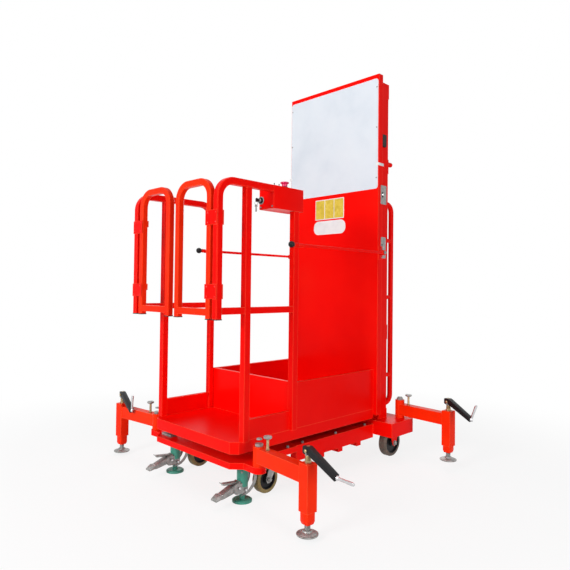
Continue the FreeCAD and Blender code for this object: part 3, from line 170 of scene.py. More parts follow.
plateLook = {
    "bright": (0.80, 0.80, 0.80), "deep": (0.72, 0.72, 0.73), "dusty": (0.84, 0.83, 0.82),
    "edgeTone": (0.45, 0.42, 0.42), "edgeShare": 0.8, "edgeWide": 0.0012,
    "drift": 12.0, "rough": (0.36, 0.5), "shine": 0.4, "peelSize": 500.0, "peelDepth": 0.05, "edge": 0.0004,
}


def mouldedPlastic(name, look):
    # moulded plastic: fine grain in the surface, rubbed lighter in patches
    mat, tree, shader = newMaterial(name)
    vector = objectCoords(tree)
    wear = noise(tree, vector, look["patch"], 6.0, 0.62)
    colour = ramp(tree, wear, [(0.35, look["body"]), (0.60, look["body"]), (0.85, look["rubbed"])])
    tree.links.new(colour, shader.inputs["Base Color"])
    tree.links.new(spread(tree, wear, *look["rough"]), shader.inputs["Roughness"])
    shader.inputs["Specular IOR Level"].default_value = look["shine"]
    grain = noise(tree, vector, look["grainSize"], 2.0)
    bump(tree, shader, grain, look["grainDepth"], 0.0004, look["edge"])
    return mat


blackLook = {
    "body": (0.006, 0.006, 0.007), "rubbed": (0.028, 0.028, 0.030), "patch": 22.0,
    "rough": (0.30, 0.50), "shine": 0.22, "grainSize": 900.0, "grainDepth": 0.25, "edge": 0.001,
}
stopLook = {
    "body": (0.66, 0.010, 0.110), "rubbed": (0.78, 0.05, 0.20), "patch": 30.0,
    "rough": (0.22, 0.34), "shine": 0.5, "grainSize": 500.0, "grainDepth": 0.08, "edge": 0.0008,
}


def platedSteel(name, look):
    # plated or turned metal: cloudy tone, fine lines along one direction, dull spots
    mat, tree, shader = newMaterial(name)
    vector = objectCoords(tree)
    cloud = noise(tree, vector, look["cloud"], 5.0, 0.6)
    colour = ramp(tree, cloud, [(0.30, look["dark"]), (0.55, look["mid"]), (0.80, look["light"])])
    tree.links.new(colour, shader.inputs["Base Color"])
    shader.inputs["Metallic"].default_value = look["metal"]
    tree.links.new(spread(tree, cloud, *look["rough"]), shader.inputs["Roughness"])
    lines = noise(tree, objectCoords(tree, look["lines"]), 1.0, 2.0)
    bump(tree, shader, lines, look["lineDepth"], 0.0003, look["edge"])
    return mat


zincLook = {
    "dark": (0.20, 0.20, 0.19), "mid": (0.33, 0.33, 0.32), "light": (0.52, 0.52, 0.50), "cloud": 60.0,
    "metal": 0.55, "rough": (0.30, 0.50), "lines": (300, 300, 900), "lineDepth": 0.18, "edge": 0.0008,
}
chromeLook = {
    "dark": (0.50, 0.50, 0.51), "mid": (0.66, 0.66, 0.67), "light": (0.78, 0.78, 0.79), "cloud": 30.0,
    "metal": 1.0, "rough": (0.08, 0.20), "lines": (200, 200, 700), "lineDepth": 0.05, "edge": 0.0006,
}
brassLook = {
    "dark": (0.28, 0.20, 0.10), "mid": (0.46, 0.35, 0.19), "light": (0.60, 0.50, 0.33), "cloud": 80.0,
    "metal": 0.9, "rough": (0.25, 0.45), "lines": (400, 400, 1400), "lineDepth": 0.2, "edge": 0.0006,
}
steelLook = {
    "dark": (0.06, 0.058, 0.055), "mid": (0.13, 0.125, 0.12), "light": (0.24, 0.23, 0.22), "cloud": 90.0,
    "metal": 0.8, "rough": (0.35, 0.6), "lines": (500, 500, 500), "lineDepth": 0.25, "edge": 0.0006,
}


def castRubber(name, look):
    # cast tread: mottled tone, dusty where it has rolled, fine pores
    mat, tree, shader = newMaterial(name)
    vector = objectCoords(tree)
    mottle = noise(tree, vector, look["mottle"], 5.0, 0.65)
    colour = ramp(tree, mottle, [(0.28, look["deep"]), (0.55, look["body"]), (0.82, look["dust"])])
    tree.links.new(colour, shader.inputs["Base Color"])
    tree.links.new(spread(tree, mottle, *look["rough"]), shader.inputs["Roughness"])
    shader.inputs["Specular IOR Level"].default_value = look["shine"]
    pores = noise(tree, vector, look["pores"], 3.0)
    bump(tree, shader, pores, 0.3, 0.0004, look["edge"])
    return mat


casterLook = {
    "deep": (0.13, 0.095, 0.030), "body": (0.235, 0.175, 0.055), "dust": (0.36, 0.29, 0.13), "mottle": 34.0,
    "rough": (0.35, 0.6), "shine": 0.45, "pores": 700.0, "edge": 0.001,
}
treadLook = {
    "deep": (0.075, 0.055, 0.042), "body": (0.135, 0.105, 0.082), "dust": (0.25, 0.205, 0.165),
    "mottle": 34.0, "rough": (0.45, 0.7), "shine": 0.35, "pores": 700.0, "edge": 0.001,
}

redPaint = powderPaint("redPaint", redLook)
tubePaint = powderPaint("tubePaint", litTubeLook)
boardWhite = powderPaint("boardWhite", boardLook)
greenPaint = powderPaint("greenPaint", greenLook)
signYellow = powderPaint("signYellow", signLook)
plateWhite = powderPaint("plateWhite", plateLook)
blackPlastic = mouldedPlastic("blackPlastic", blackLook)
stopPlastic = mouldedPlastic("stopPlastic", stopLook)
zincSteel = platedSteel("zincSteel", zincLook)
chromeRod = platedSteel("chromeRod", chromeLook)
brassSteel = platedSteel("brassSteel", brassLook)
oiledSteel = platedSteel("oiledSteel", steelLook)
casterTread = castRubber("casterTread", casterLook)
rearTread = castRubber("rearTread", treadLook)
# the record's slot and the material of each kind of new piece
redFinish = ("red_paint", redPaint)
litTubeFinish = ("red_paint", tubePaint)
plateFinish = ("white_paint", plateWhite)
signFinish = ("white_paint", signYellow)
blackFinish = ("black_plastic", blackPlastic)
stopFinish = ("stop_red", stopPlastic)
zincFinish = ("zinc_steel", zincSteel)
brightFinish = ("zinc_steel", chromeRod)
brassFinish = ("zinc_steel", brassSteel)
oiledFinish = ("zinc_steel", oiledSteel)
gripFinish = ("chrome_rod", chromeRod)
print("materials made")

# material of each CAD node, by the start of its name; the rest is red
nodePaint = [
    # the gates and arms take the oranger copy of the red paint, with painted light in it
    (tubePaint, ("gate_left", "gate_right", "gate_hinges", "outrigger")),
    (boardWhite, ("light_board",)),
    (blackPlastic, ("leg_caps", "gate_caps", "bar_knob", "mast_pads", "crank_and_pin", "power_unit")),
    (stopPlastic, ("stop_button",)),
    (zincSteel, ("lock_pedals", "rear_axles", "caster_fork", "pivot_pins", "leg_foot")),
    (oiledSteel, ("lift_barrel", "lift_chains", "mast_rollers", "carriage_rollers")),
    (chromeRod, ("lift_rod",)),
    (casterTread, ("caster_wheel",)),
    (rearTread, ("rear_wheel",)),
    (greenPaint, ("floor_locks", "lock_pad")),
]
for name, obj in nodes.items():
    paint = redPaint
    for mat, starts in nodePaint:
        if name.startswith(starts):
            paint = mat
    obj.data.materials.clear()
    obj.data.materials.append(paint)
print("nodes painted")


# Modelling helpers

sides = ((-1, "left"), (1, "right"))


def leaveEdit():
    bpy.ops.object.mode_set(mode="OBJECT")


def clearPick():
    if bpy.context.mode != "OBJECT":
        leaveEdit()
    bpy.ops.object.select_all(action="DESELECT")


def usePiece(obj):
    clearPick()
    obj.select_set(True)
    bpy.context.view_layer.objects.active = obj


def newBlock(name, low, high):
    clearPick()
    middle = [(a + b) / 2 for a, b in zip(low, high)]
    bpy.ops.mesh.primitive_cube_add(size=1, location=middle)
    obj = bpy.context.object
    obj.name = name
    obj.scale = [b - a for a, b in zip(low, high)]
    bpy.ops.object.transform_apply(location=True, rotation=True, scale=True)
    return obj


def pickFaces(obj, test):
    # leaves the piece in edit mode with the faces that pass the test picked
    usePiece(obj)
    bpy.ops.object.mode_set(mode="EDIT")
    bpy.ops.mesh.select_mode(type="FACE")
    bpy.ops.mesh.select_all(action="DESELECT")
    leaveEdit()
    for face in obj.data.polygons:
        face.select = test(face.center, face.normal)
    bpy.ops.object.mode_set(mode="EDIT")


def pickEdges(obj, test):
    # the test gets both ends of an edge
    usePiece(obj)
    bpy.ops.object.mode_set(mode="EDIT")
    bpy.ops.mesh.select_mode(type="EDGE")
    bpy.ops.mesh.select_all(action="DESELECT")
    leaveEdit()
    points = obj.data.vertices
    for edge in obj.data.edges:
        a, b = edge.vertices
        edge.select = test(points[a].co, points[b].co)
    bpy.ops.object.mode_set(mode="EDIT")


def extrudeBy(move):
    bpy.ops.mesh.extrude_region_move(TRANSFORM_OT_translate={"value": move})


def insetBy(thickness, depth=0.0):
    bpy.ops.mesh.inset(thickness=thickness, depth=depth)


def bevelPicked(width, segments):
    bpy.ops.mesh.bevel(offset=width, segments=segments, affect="EDGES")


def resizeAbout(point, value):
    bpy.ops.transform.resize(value=value, center_override=point)


def roundEdges(obj, width, segments=2, angle=35):
    usePiece(obj)
    bevel = obj.modifiers.new("softEdges", "BEVEL")
    bevel.width = width
    bevel.segments = segments
    bevel.limit_method = "ANGLE"
    bevel.angle_limit = math.radians(angle)
    bpy.ops.object.modifier_apply(modifier="softEdges")


def closeMesh(obj):
    usePiece(obj)
    bpy.ops.object.mode_set(mode="EDIT")
    bpy.ops.mesh.select_all(action="SELECT")
    bpy.ops.mesh.remove_doubles(threshold=0.00002)
    bpy.ops.mesh.normals_make_consistent(inside=False)
    leaveEdit()


def turnPiece(name, profile, segments=40):
    # a turned piece about its own upright axis: a disc extruded and scaled from step to step
    clearPick()
    radius, height = profile[0]
    bpy.ops.mesh.primitive_circle_add(vertices=segments, radius=radius, fill_type="NGON",
                                      location=(0, 0, height))
    obj = bpy.context.object
    obj.name = name
    bpy.ops.object.transform_apply(location=True, rotation=True, scale=True)
    bpy.ops.object.mode_set(mode="EDIT")
    bpy.ops.mesh.select_mode(type="FACE")
    bpy.ops.mesh.select_all(action="SELECT")
    for nextRadius, nextHeight in profile[1:]:
        extrudeBy((0, 0, nextHeight - height))
        grow = nextRadius / radius
        if grow != 1:
            resizeAbout((0, 0, nextHeight), (grow, grow, 1))
        radius, height = nextRadius, nextHeight
    closeMesh(obj)
    return obj


def movePiece(obj, matrix):
    obj.data.transform(matrix)
    if matrix.determinant() < 0:
        obj.data.flip_normals()
    obj.data.update()


def copyPiece(obj, name, matrix):
    twin = obj.copy()
    twin.data = obj.data.copy()
    twin.name = name
    bpy.context.collection.objects.link(twin)
    movePiece(twin, matrix)
    return twin


def joinPieces(name, pieces):
    clearPick()
    for piece in pieces:
        piece.select_set(True)
    bpy.context.view_layer.objects.active = pieces[0]
    bpy.ops.object.join()
    pieces[0].name = name
    return pieces[0]


def dress(obj, body, finish, angle=32):
    slot, mat = finish
    usePiece(obj)
    bpy.ops.object.shade_smooth_by_angle(angle=math.radians(angle))
    obj.data.materials.clear()
    obj.data.materials.append(mat)
    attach(obj, body)
    return obj


def shift(x, y, z):
    return Matrix.Translation((x, y, z))


def spin(degrees, axis):
    return Matrix.Rotation(math.radians(degrees), 4, axis)


def dropMasters(*masters):
    for master in masters:
        bpy.data.objects.remove(master)


# turns a piece made upright so that its top points along an axis
towards = {"+x": spin(90, "Y"), "-x": spin(-90, "Y"), "-y": spin(90, "X"), "+y": spin(-90, "X")}


# Cranks, locking pins and feet of the four outriggers

outrigger = {
    "armLong": 0.305, "armHigh": 0.060, "legOver": 0.014, "legWide": 0.048, "pinX": 0.058,
    "spindleHigh": 0.062, "crossDrop": 0.017, "footHigh": 0.014, "neckHigh": 0.024,
    "legWall": 0.0043, "innerLong": 0.160, "footShare": 0.80, "taperHigh": 0.012, "innerRound": 0.0022,
    "front": {"x": 0.388, "y": -0.4725, "armFoot": 0.2033},
    "rear": {"x": 0.362, "y": 0.5995, "armFoot": 0.2263},
}
# name, end, side, arm's turn, crank's turn from the arm, grip's rise
corners = [
    ("front_right", "front", 1, -6, 0, 0),
    ("front_left", "front", -1, 186, 164, 84),
    ("rear_right", "rear", 1, -4, -13, 66),
    ("rear_left", "rear", -1, 184, 0, 0),
]

crankLook = {
    "reach": 0.150, "drop": 0.066, "deep": 0.030, "behind": 0.019, "tipDeep": 0.020, "wide": 0.024,
    "wall": 0.003, "pocket": 0.014, "round": 0.0018, "endRound": 0.007, "gripLong": 0.084, "gripThick": 0.012,
}


def makeCrankBar(look):
    # folded bar about its hub: the outer end is drawn out and down, the underside hollowed
    half = look["wide"] / 2
    bar = newBlock("crankBar", (-look["behind"], -half, -look["deep"]), (half, half, 0))
    pickEdges(bar, lambda a, b: a.x < 0 and b.x < 0 and abs(a.y - b.y) > half)
    bevelPicked(look["endRound"], 3)
    pickFaces(bar, lambda at, way: way.x > 0.9)
    extrudeBy((look["reach"] - half, 0, -look["drop"]))
    resizeAbout((look["reach"], 0, -look["drop"]), (1, 1, look["tipDeep"] / look["deep"]))
    pickFaces(bar, lambda at, way: way.z < -0.7)
    insetBy(look["wall"])
    extrudeBy((0, 0, look["pocket"]))
    leaveEdit()
    roundEdges(bar, look["round"], 2)
    return bar


def makeGrip(look):
    radius = look["gripThick"] / 2
    return turnPiece("crankGrip", [
        (radius * 1.35, -0.004), (radius * 1.5, -0.002), (radius * 1.5, 0.005), (radius * 1.1, 0.008),
        (radius, 0.011), (radius, look["gripLong"] * 0.55), (radius * 1.12, look["gripLong"] * 0.7),
        (radius * 1.12, look["gripLong"] * 0.9), (radius * 0.9, look["gripLong"] - 0.002),
        (radius * 0.5, look["gripLong"]),
    ], 24)


def threadProfile(look, start, end):
    # rings that read as a screw thread from a step away
    radius, pitch, root = look["radius"], look["pitch"], look["radius"] - look["deep"]
    steps = int((end - start) / pitch)
    rings = []
    for i in range(steps):
        low = start + i * pitch
        rings += [(root, low), (radius, low + pitch * 0.35), (radius, low + pitch * 0.65)]
    return rings + [(root, start + steps * pitch)]


spindleProfile = [(0.0130, 0.0), (0.0132, 0.004), (0.0125, 0.010)]
thread = {"radius": 0.0112, "pitch": 0.0028, "deep": 0.0012}
spindleProfile += threadProfile(thread, 0.012, 0.034)
spindleProfile += [(0.0085, 0.036), (0.0072, 0.044), (0.0070, 0.060), (0.0070, 0.0625)]
nutProfile = [(0.0125, -0.0345), (0.0140, -0.0330), (0.0140, -0.0240), (0.0125, -0.0225)]
pinProfile = [(0.0085, 0.0), (0.0085, 0.004), (0.0062, 0.006), (0.0056, 0.010), (0.0056, 0.048)]
headProfile = [
    (0.0090, 0.045), (0.0150, 0.0475), (0.0175, 0.0500), (0.0175, 0.0550), (0.0160, 0.0570), (0.0110, 0.0565),
    (0.0060, 0.0575),
]
crossProfile = [
    (0.0040, -0.0165), (0.0062, -0.0155), (0.0066, -0.0135), (0.0066, -0.0122), (0.0035, -0.0120),
    (0.0035, 0.0120), (0.0066, 0.0122), (0.0066, 0.0160), (0.0050, 0.0172),
]
footProfile = [
    (0.0405, 0.0), (0.0414, 0.0015), (0.0414, 0.0045), (0.0400, 0.0056), (0.0365, 0.0056), (0.0350, 0.0066),
    (0.0250, 0.0112), (0.0190, 0.0125), (0.0175, 0.0160), (0.0150, 0.0180),
]
footProfile += threadProfile(thread, 0.0185, 0.0380)

crankBar = makeCrankBar(crankLook)
crankGrip = makeGrip(crankLook)
spindle = turnPiece("crankSpindle", spindleProfile, 32)
spindleNut = turnPiece("spindleNut", nutProfile, 6)
pinStem = turnPiece("lockPinStem", pinProfile, 20)
pinHead = turnPiece("lockPinHead", headProfile, 32)
crossPin = turnPiece("crankCrossPin", crossProfile, 24)
pivotBolt = turnPiece("pivotBolt", [(0.0120, 0), (0.0128, 0.0012), (0.0128, 0.0045), (0.0110, 0.0060)], 6)
footPad = turnPiece("footPad", footProfile, 48)


def makeInnerLeg(look):
    # inner tube: lower corners drawn in, hollow seen from below
    half = look["legWide"] / 2 - look["legWall"]
    leg = newBlock("innerLeg", (-half, -half, 0), (half, half, look["innerLong"]))
    pickFaces(leg, lambda at, way: way.z < -0.9)
    resizeAbout((0, 0, 0), (look["footShare"], look["footShare"], 1))
    pickEdges(leg, lambda a, b: abs(a.z - b.z) > 0.1)
    bpy.ops.mesh.subdivide(number_cuts=7)
    leaveEdit()
    # only the lowest stretch tapers: the first ring above the foot goes down to its top
    firstRing = 1.5 * look["innerLong"] / 8
    for point in leg.data.vertices:
        if point.co.z > 0.001:
            point.co.x = math.copysign(half, point.co.x)
            point.co.y = math.copysign(half, point.co.y)
            if point.co.z < firstRing:
                point.co.z = look["taperHigh"]
    roundEdges(leg, look["innerRound"], 2)
    return leg


innerLeg = makeInnerLeg(outrigger)

for name, end, side, turn, crankTurn, rise in corners:
    pivot = outrigger[end]
    arm = shift(side * pivot["x"], pivot["y"], 0) @ spin(turn, "Z")
    armTop = pivot["armFoot"] + outrigger["armHigh"]
    legTop = armTop + outrigger["legOver"]
    leg = arm @ shift(outrigger["armLong"], 0, 0)
    pinAt = arm @ shift(outrigger["pinX"], 0, armTop)
    hub = leg @ shift(0, 0, legTop + outrigger["spindleHigh"]) @ spin(crankTurn, "Z")
    gripFoot = -crankLook["drop"] - crankLook["tipDeep"] / 2
    gripAt = hub @ shift(crankLook["reach"], 0, gripFoot) @ spin(90 - rise, "Y")
    crossAt = hub @ shift(0, 0, -outrigger["crossDrop"]) @ towards["-y"]
    for master, label, place, finish, angle in (
        (crankBar, "crankBar_", hub, blackFinish, 32),
        (crankGrip, "crankGrip_", gripAt, gripFinish, 32),
        (spindle, "spindle_", leg @ shift(0, 0, legTop), brassFinish, 32),
        (spindleNut, "spindleNut_", hub, zincFinish, 20),
        (pinStem, "lockPin_", pinAt, brassFinish, 32),
        (pinHead, "lockPinHead_", pinAt, zincFinish, 32),
        (crossPin, "crankCrossPin_", crossAt, brassFinish, 32),
    ):
        piece = dress(copyPiece(master, label + name, place), "arm_" + name, finish, angle)
        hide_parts("crank_and_pin_" + name)
    footNode = "leg_foot_" + name
    padAt = leg @ shift(0, 0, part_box(footNode)[0][2])
    innerAt = padAt @ shift(0, 0, outrigger["footHigh"] + outrigger["neckHigh"])
    for master, label, place, finish in (
        (footPad, "footPad_", padAt, zincFinish),
        (innerLeg, "innerLeg_", innerAt, litTubeFinish),
    ):
        piece = dress(copyPiece(master, label + name, place), "foot_" + name, finish)
        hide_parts(footNode)
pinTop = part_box("pivot_pins")[1][2]
for side, word in sides:
    for end in ("front", "rear"):
        pivot = outrigger[end]
        top = pinTop + pivot["armFoot"] - outrigger["rear"]["armFoot"]
        boltAt = shift(side * pivot["x"], pivot["y"], top)
        bolt = copyPiece(pivotBolt, "pivotBolt_%s_%s" % (end, word), boltAt)
        dress(bolt, "base", zincFinish, 20)
dropMasters(crankBar, crankGrip, spindle, spindleNut, pinStem, pinHead, crossPin, pivotBolt)
dropMasters(footPad, innerLeg)
print("outrigger controls and feet done")

# Wheels

frontWheel = {
    "radius": 0.0625, "half": 0.019, "rim": 0.0455, "hub": 0.022, "bore": 0.0083, "treadRound": 0.006,
}
rearWheel = {
    "radius": 0.075, "half": 0.022, "rim": 0.058, "hub": 0.022, "bore": 0.0083, "treadRound": 0.008,
}


def makeTyre(look):
    # a ring: disc with its middle opened from both sides and bridged
    outer = look["radius"]
    half = look["half"]
    edge = look["treadRound"]
    tyre = turnPiece("tyre", [
        (look["rim"] + 0.002, -half), (outer - edge, -half), (outer - edge * 0.3, -half + edge * 0.3),
        (outer, -half + edge), (outer, -0.0035), (outer - 0.0012, -0.0025), (outer - 0.0012, 0.0025),
        (outer, 0.0035), (outer, half - edge), (outer - edge * 0.3, half - edge * 0.3), (outer - edge, half),
        (look["rim"] + 0.002, half),
    ], 64)
    pickFaces(tyre, lambda at, way: abs(way.z) > 0.9 and at.x ** 2 + at.y ** 2 < 1e-6)
    insetBy(0.002)
    bpy.ops.mesh.bridge_edge_loops()
    closeMesh(tyre)
    return tyre


def makeCore(look):
    # rim, sunk web with round bosses and hub, bored for the axle
    half = look["half"]
    core = turnPiece("wheelCore", [
        (look["rim"], -half + 0.001), (look["rim"] + 0.0004, -half + 0.002),
        (look["rim"] + 0.0004, half - 0.002), (look["rim"], half - 0.001),
    ], 64)
    for side in (-1, 1):
        pickFaces(core, lambda at, way: way.z * side > 0.9 and at.x ** 2 + at.y ** 2 < 1e-6)
        insetBy(0.0035)
        insetBy(0.0025, -0.008)
        insetBy(look["rim"] - 0.0035 - 0.0025 - look["hub"])
        insetBy(0.0015, 0.009)
        insetBy(look["hub"] - 0.0015 - look["bore"])
        leaveEdit()
    pickFaces(core, lambda at, way: abs(way.z) > 0.9 and at.x ** 2 + at.y ** 2 < 1e-6)
    bpy.ops.mesh.bridge_edge_loops()
    closeMesh(core)
    return core


for kind, look, treadFinish in (
    ("caster", frontWheel, ("caster_tread", casterTread)),
    ("rear", rearWheel, ("rear_tread", rearTread)),
):
    tyre = makeTyre(look)
    core = makeCore(look)
    for side in ("left", "right"):
        node = kind + "_wheel_" + side
        low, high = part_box(node)
        middle = shift(*[(a + b) / 2 for a, b in zip(low, high)]) @ towards["+x"]
        for master, label, finish in ((tyre, "Tyre_", treadFinish), (core, "Core_", blackFinish)):
            piece = dress(copyPiece(master, kind + label + side, middle), kind + "_roll_" + side, finish)
            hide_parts(node)
    dropMasters(tyre, core)
print("wheels done")

# Screws, bolts and nuts

def makeScrew(radius, head):
    # round head with a crossed recess
    screw = turnPiece("screwMaster", [
        (radius * 0.98, 0), (radius, head * 0.15), (radius * 0.92, head * 0.55), (radius * 0.70, head * 0.85),
        (radius * 0.42, head),
    ], 16)
    pickFaces(screw, lambda at, way: way.z > 0.95)
    insetBy(radius * 0.16, -head * 0.45)
    leaveEdit()
    return screw


def makeBolt(radius, head):
    # six-sided head with a cut rim on a round washer
    washer = turnPiece("boltMaster", [
        (radius * 1.25, 0), (radius * 1.3, head * 0.12), (radius * 1.25, head * 0.22),
    ], 24)
    hexHead = turnPiece("boltHead", [
        (radius, head * 0.22), (radius, head * 0.88), (radius * 0.86, head),
    ], 6)
    return joinPieces("boltMaster", [washer, hexHead])


smallScrew = makeScrew(0.0042, 0.0028)
flangeBolt = makeBolt(0.0075, 0.0070)
bigBolt = makeBolt(0.0110, 0.0090)

fixingLook = {
    "hingeX": (0.3165, 0.2640), "hingeZ": (1.220, 1.180, 0.920, 0.880), "hingeSink": 0.0026,
    "boardIn": 0.008, "boardZ": (2.015, 1.795, 1.520), "boxIn": 0.010, "barY": 0.4455, "barZ": 1.113,
    "wheelX": 0.357, "casterY": -0.3085,
}
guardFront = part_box("side_guard_right")[0][1]
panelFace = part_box("back_panel")[0][1]
boardLow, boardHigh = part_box("light_board")
boxLow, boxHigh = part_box("control_box")
barLow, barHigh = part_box("bar_pivots")
boardX = boardHigh[0] - fixingLook["boardIn"]
hingeY = guardFront + fixingLook["hingeSink"]  # the hinge screws are countersunk, their heads nearly flush
boxIn = fixingLook["boxIn"]
# name, master, way it points, places
fixings = [
    ("hingeScrew", smallScrew, "-y", [(side * x, hingeY, z) for side, word in sides
                                      for x in fixingLook["hingeX"] for z in fixingLook["hingeZ"]]),
    ("boardScrew", smallScrew, "-y", [(side * boardX, boardLow[1], z) for side, word in sides
                                      for z in fixingLook["boardZ"]]),
    ("boxScrew", smallScrew, "-y", [(x, boxLow[1], z) for x in (boxLow[0] + boxIn, boxHigh[0] - boxIn)
                                    for z in (boxLow[2] + boxIn, boxHigh[2] - boxIn)]),
    ("barBolt", flangeBolt, "+x", [(barHigh[0], fixingLook["barY"], fixingLook["barZ"])]),
    ("barBoltLeft", flangeBolt, "-x", [(barLow[0], fixingLook["barY"], fixingLook["barZ"])]),
]
for name, master, way, places in fixings:
    for i, place in enumerate(places):
        fixing = copyPiece(master, name + "_" + str(i + 1), shift(*place) @ towards[way])
        dress(fixing, "platform", zincFinish, 25)
for side, word in sides:
    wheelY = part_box("rear_wheel_right")[0][1] + rearWheel["radius"]
    wheelAt = shift(side * fixingLook["wheelX"], wheelY, rearWheel["radius"])
    bolt = copyPiece(bigBolt, "wheelBolt_" + word, wheelAt @ towards["-x" if side < 0 else "+x"])
    dress(bolt, "base", zincFinish, 25)
    low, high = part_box("caster_fork_" + word)
    for x, way, number in ((low[0], "-x", 1), (high[0], "+x", 3)):
        bolt = copyPiece(flangeBolt, "casterBolt_%s_%d" % (word, number),
                         shift(x, fixingLook["casterY"], frontWheel["radius"]) @ towards[way])
        dress(bolt, "caster_swivel_" + word, zincFinish, 25)
dropMasters(smallScrew, flangeBolt, bigBolt)
print("screws and bolts done")

# Blank plates on the panel

signPlates = {
    "thick": 0.0012, "x": -0.014, "signZ": 1.380, "signSize": (0.217, 0.118), "rim": 0.0045, "fields": 3,
    "signRound": 0.003, "fieldRound": 0.002, "fieldRise": 0.0006,
    "plateZ": 1.273, "plateSize": (0.240, 0.080), "plateRound": 0.036,
}


def makePlate(name, middleX, middleZ, size, corner, rise=0.0):
    wide, high = size
    plate = newBlock(name, (middleX - wide / 2, panelFace - signPlates["thick"] - rise, middleZ - high / 2),
                     (middleX + wide / 2, panelFace, middleZ + high / 2))
    pickEdges(plate, lambda a, b: abs(a.y - b.y) > 0.0005)
    bevelPicked(corner, 8)
    pickFaces(plate, lambda at, way: way.y < -0.9)
    insetBy(min(corner, 0.004) * 0.6)
    leaveEdit()
    return plate


# a pale backing with blank yellow fields, and a blank rounded plate under it
signX, signZ, rim, count = (signPlates[key] for key in ("x", "signZ", "rim", "fields"))
signWide, signHigh = signPlates["signSize"]
fieldWide = (signWide - rim * (count + 1)) / count
dress(makePlate("blankSign", signX, signZ, (signWide, signHigh), signPlates["signRound"]),
      "platform", plateFinish)
for i in range(count):
    step = (i - (count - 1) / 2) * (fieldWide + rim)
    field = makePlate("blankField_" + str(i + 1), signX + step, signZ, (fieldWide, signHigh - 2 * rim),
                      signPlates["fieldRound"], signPlates["fieldRise"])
    dress(field, "platform", signFinish)
dress(makePlate("blankPlate", signX, signPlates["plateZ"], signPlates["plateSize"], signPlates["plateRound"]),
      "platform", plateFinish)
print("plates done")

# Control box, button and key switch

boxLook = {
    "round": 0.0025, "rim": 0.006, "footRim": 0.005, "groove": 0.0012, "sink": 0.0015,
    "keyX": 0.245, "keyZ": 1.309, "keyOut": 0.0345, "ringOut": 0.0305, "ringDrop": 0.0155,
    "ringRadius": 0.0085, "ringWire": 0.0009, "spareDrop": 0.0055,
    "toggleX": 0.300, "toggleY": (-0.3205, -0.2905),
}


def makeControlBox(low, high, look):
    case = newBlock("controlCase", low, high)
    pickFaces(case, lambda at, way: way.y < -0.9)
    insetBy(look["rim"])
    insetBy(look["groove"], -look["sink"])
    leaveEdit()
    pickFaces(case, lambda at, way: way.z < -0.9)
    insetBy(look["footRim"], -look["sink"])
    leaveEdit()
    roundEdges(case, look["round"], 3, 50)
    return case


case = dress(makeControlBox(boxLow, boxHigh, boxLook), "platform", redFinish)
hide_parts("control_box")
buttonLow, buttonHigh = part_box("stop_button")
buttonAt = shift((buttonLow[0] + buttonHigh[0]) / 2, (buttonLow[1] + buttonHigh[1]) / 2, buttonLow[2])
keyAt = shift(boxLook["keyX"], boxLow[1], boxLook["keyZ"]) @ towards["-y"]
# name, profile, segments, place, finish
turnedParts = [
    ("buttonCollar", [
        (0.0165, 0), (0.0168, 0.002), (0.0150, 0.0055), (0.0120, 0.006), (0.0110, 0.011),
    ], 40, buttonAt, blackFinish),
    ("stopKnob", [
        (0.0125, 0.0060), (0.0128, 0.0130), (0.0135, 0.0175), (0.0165, 0.0205), (0.0195, 0.0220),
        (0.0200, 0.0240), (0.0198, 0.0258), (0.0180, 0.0275), (0.0130, 0.0288), (0.0070, 0.0292),
    ], 48, buttonAt, stopFinish),
    ("keyPlate", [(0.0175, 0), (0.0180, 0.0006), (0.0180, 0.0014), (0.0165, 0.0020)], 40, keyAt, zincFinish),
    ("keyCollar", [
        (0.0135, 0.0018), (0.0140, 0.0030), (0.0140, 0.0075), (0.0125, 0.0100), (0.0100, 0.0106),
        (0.0095, 0.0090),
    ], 40, keyAt, blackFinish),
    ("keyBarrel", [(0.0085, 0.0080), (0.0085, 0.0112), (0.0070, 0.0122)], 40, keyAt, zincFinish),
]
for name, profile, segments, place, finish in turnedParts:
    part = turnPiece(name, profile, segments)
    movePiece(part, place)
    dress(part, "platform", finish)
    if place is buttonAt:
        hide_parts("stop_button")


def makeKey(name, bowWide, bowLong, bladeLong):
    # flat key: rounded bow with an eye, narrow blade below it
    key = newBlock(name, (-bowWide / 2, -0.0011, -bowLong), (bowWide / 2, 0.0011, 0))
    pickEdges(key, lambda a, b: abs(a.y - b.y) > 0.001)
    bevelPicked(bowWide * 0.36, 4)
    pickFaces(key, lambda at, way: way.z < -0.9)
    extrudeBy((0, 0, -bladeLong))
    leaveEdit()
    for side in (-1, 1):
        pickFaces(key, lambda at, way: way.y * side > 0.9)
        insetBy(0.0007)
        insetBy(0.0004, -0.0003)
        leaveEdit()
    return key


inserted = makeKey("insertedKey", 0.018, 0.015, 0.012)
movePiece(inserted, keyAt @ shift(0, 0, boxLook["keyOut"]) @ spin(90, "Z"))
dress(inserted, "platform", blackFinish)
clearPick()
bpy.ops.mesh.primitive_torus_add(major_radius=boxLook["ringRadius"], minor_radius=boxLook["ringWire"],
                                 major_segments=32, minor_segments=8)
keyRing = bpy.context.object
keyRing.name = "keyRing"
ringAt = shift(boxLook["keyX"], boxLow[1] - boxLook["ringOut"], boxLook["keyZ"] - boxLook["ringDrop"])
movePiece(keyRing, ringAt @ spin(90, "Y"))
dress(keyRing, "platform", zincFinish)
spare = makeKey("spareKey", 0.013, 0.012, 0.020)
movePiece(spare, ringAt @ shift(0, 0, -boxLook["spareDrop"]) @ spin(50, "Z"))
dress(spare, "platform", zincFinish)

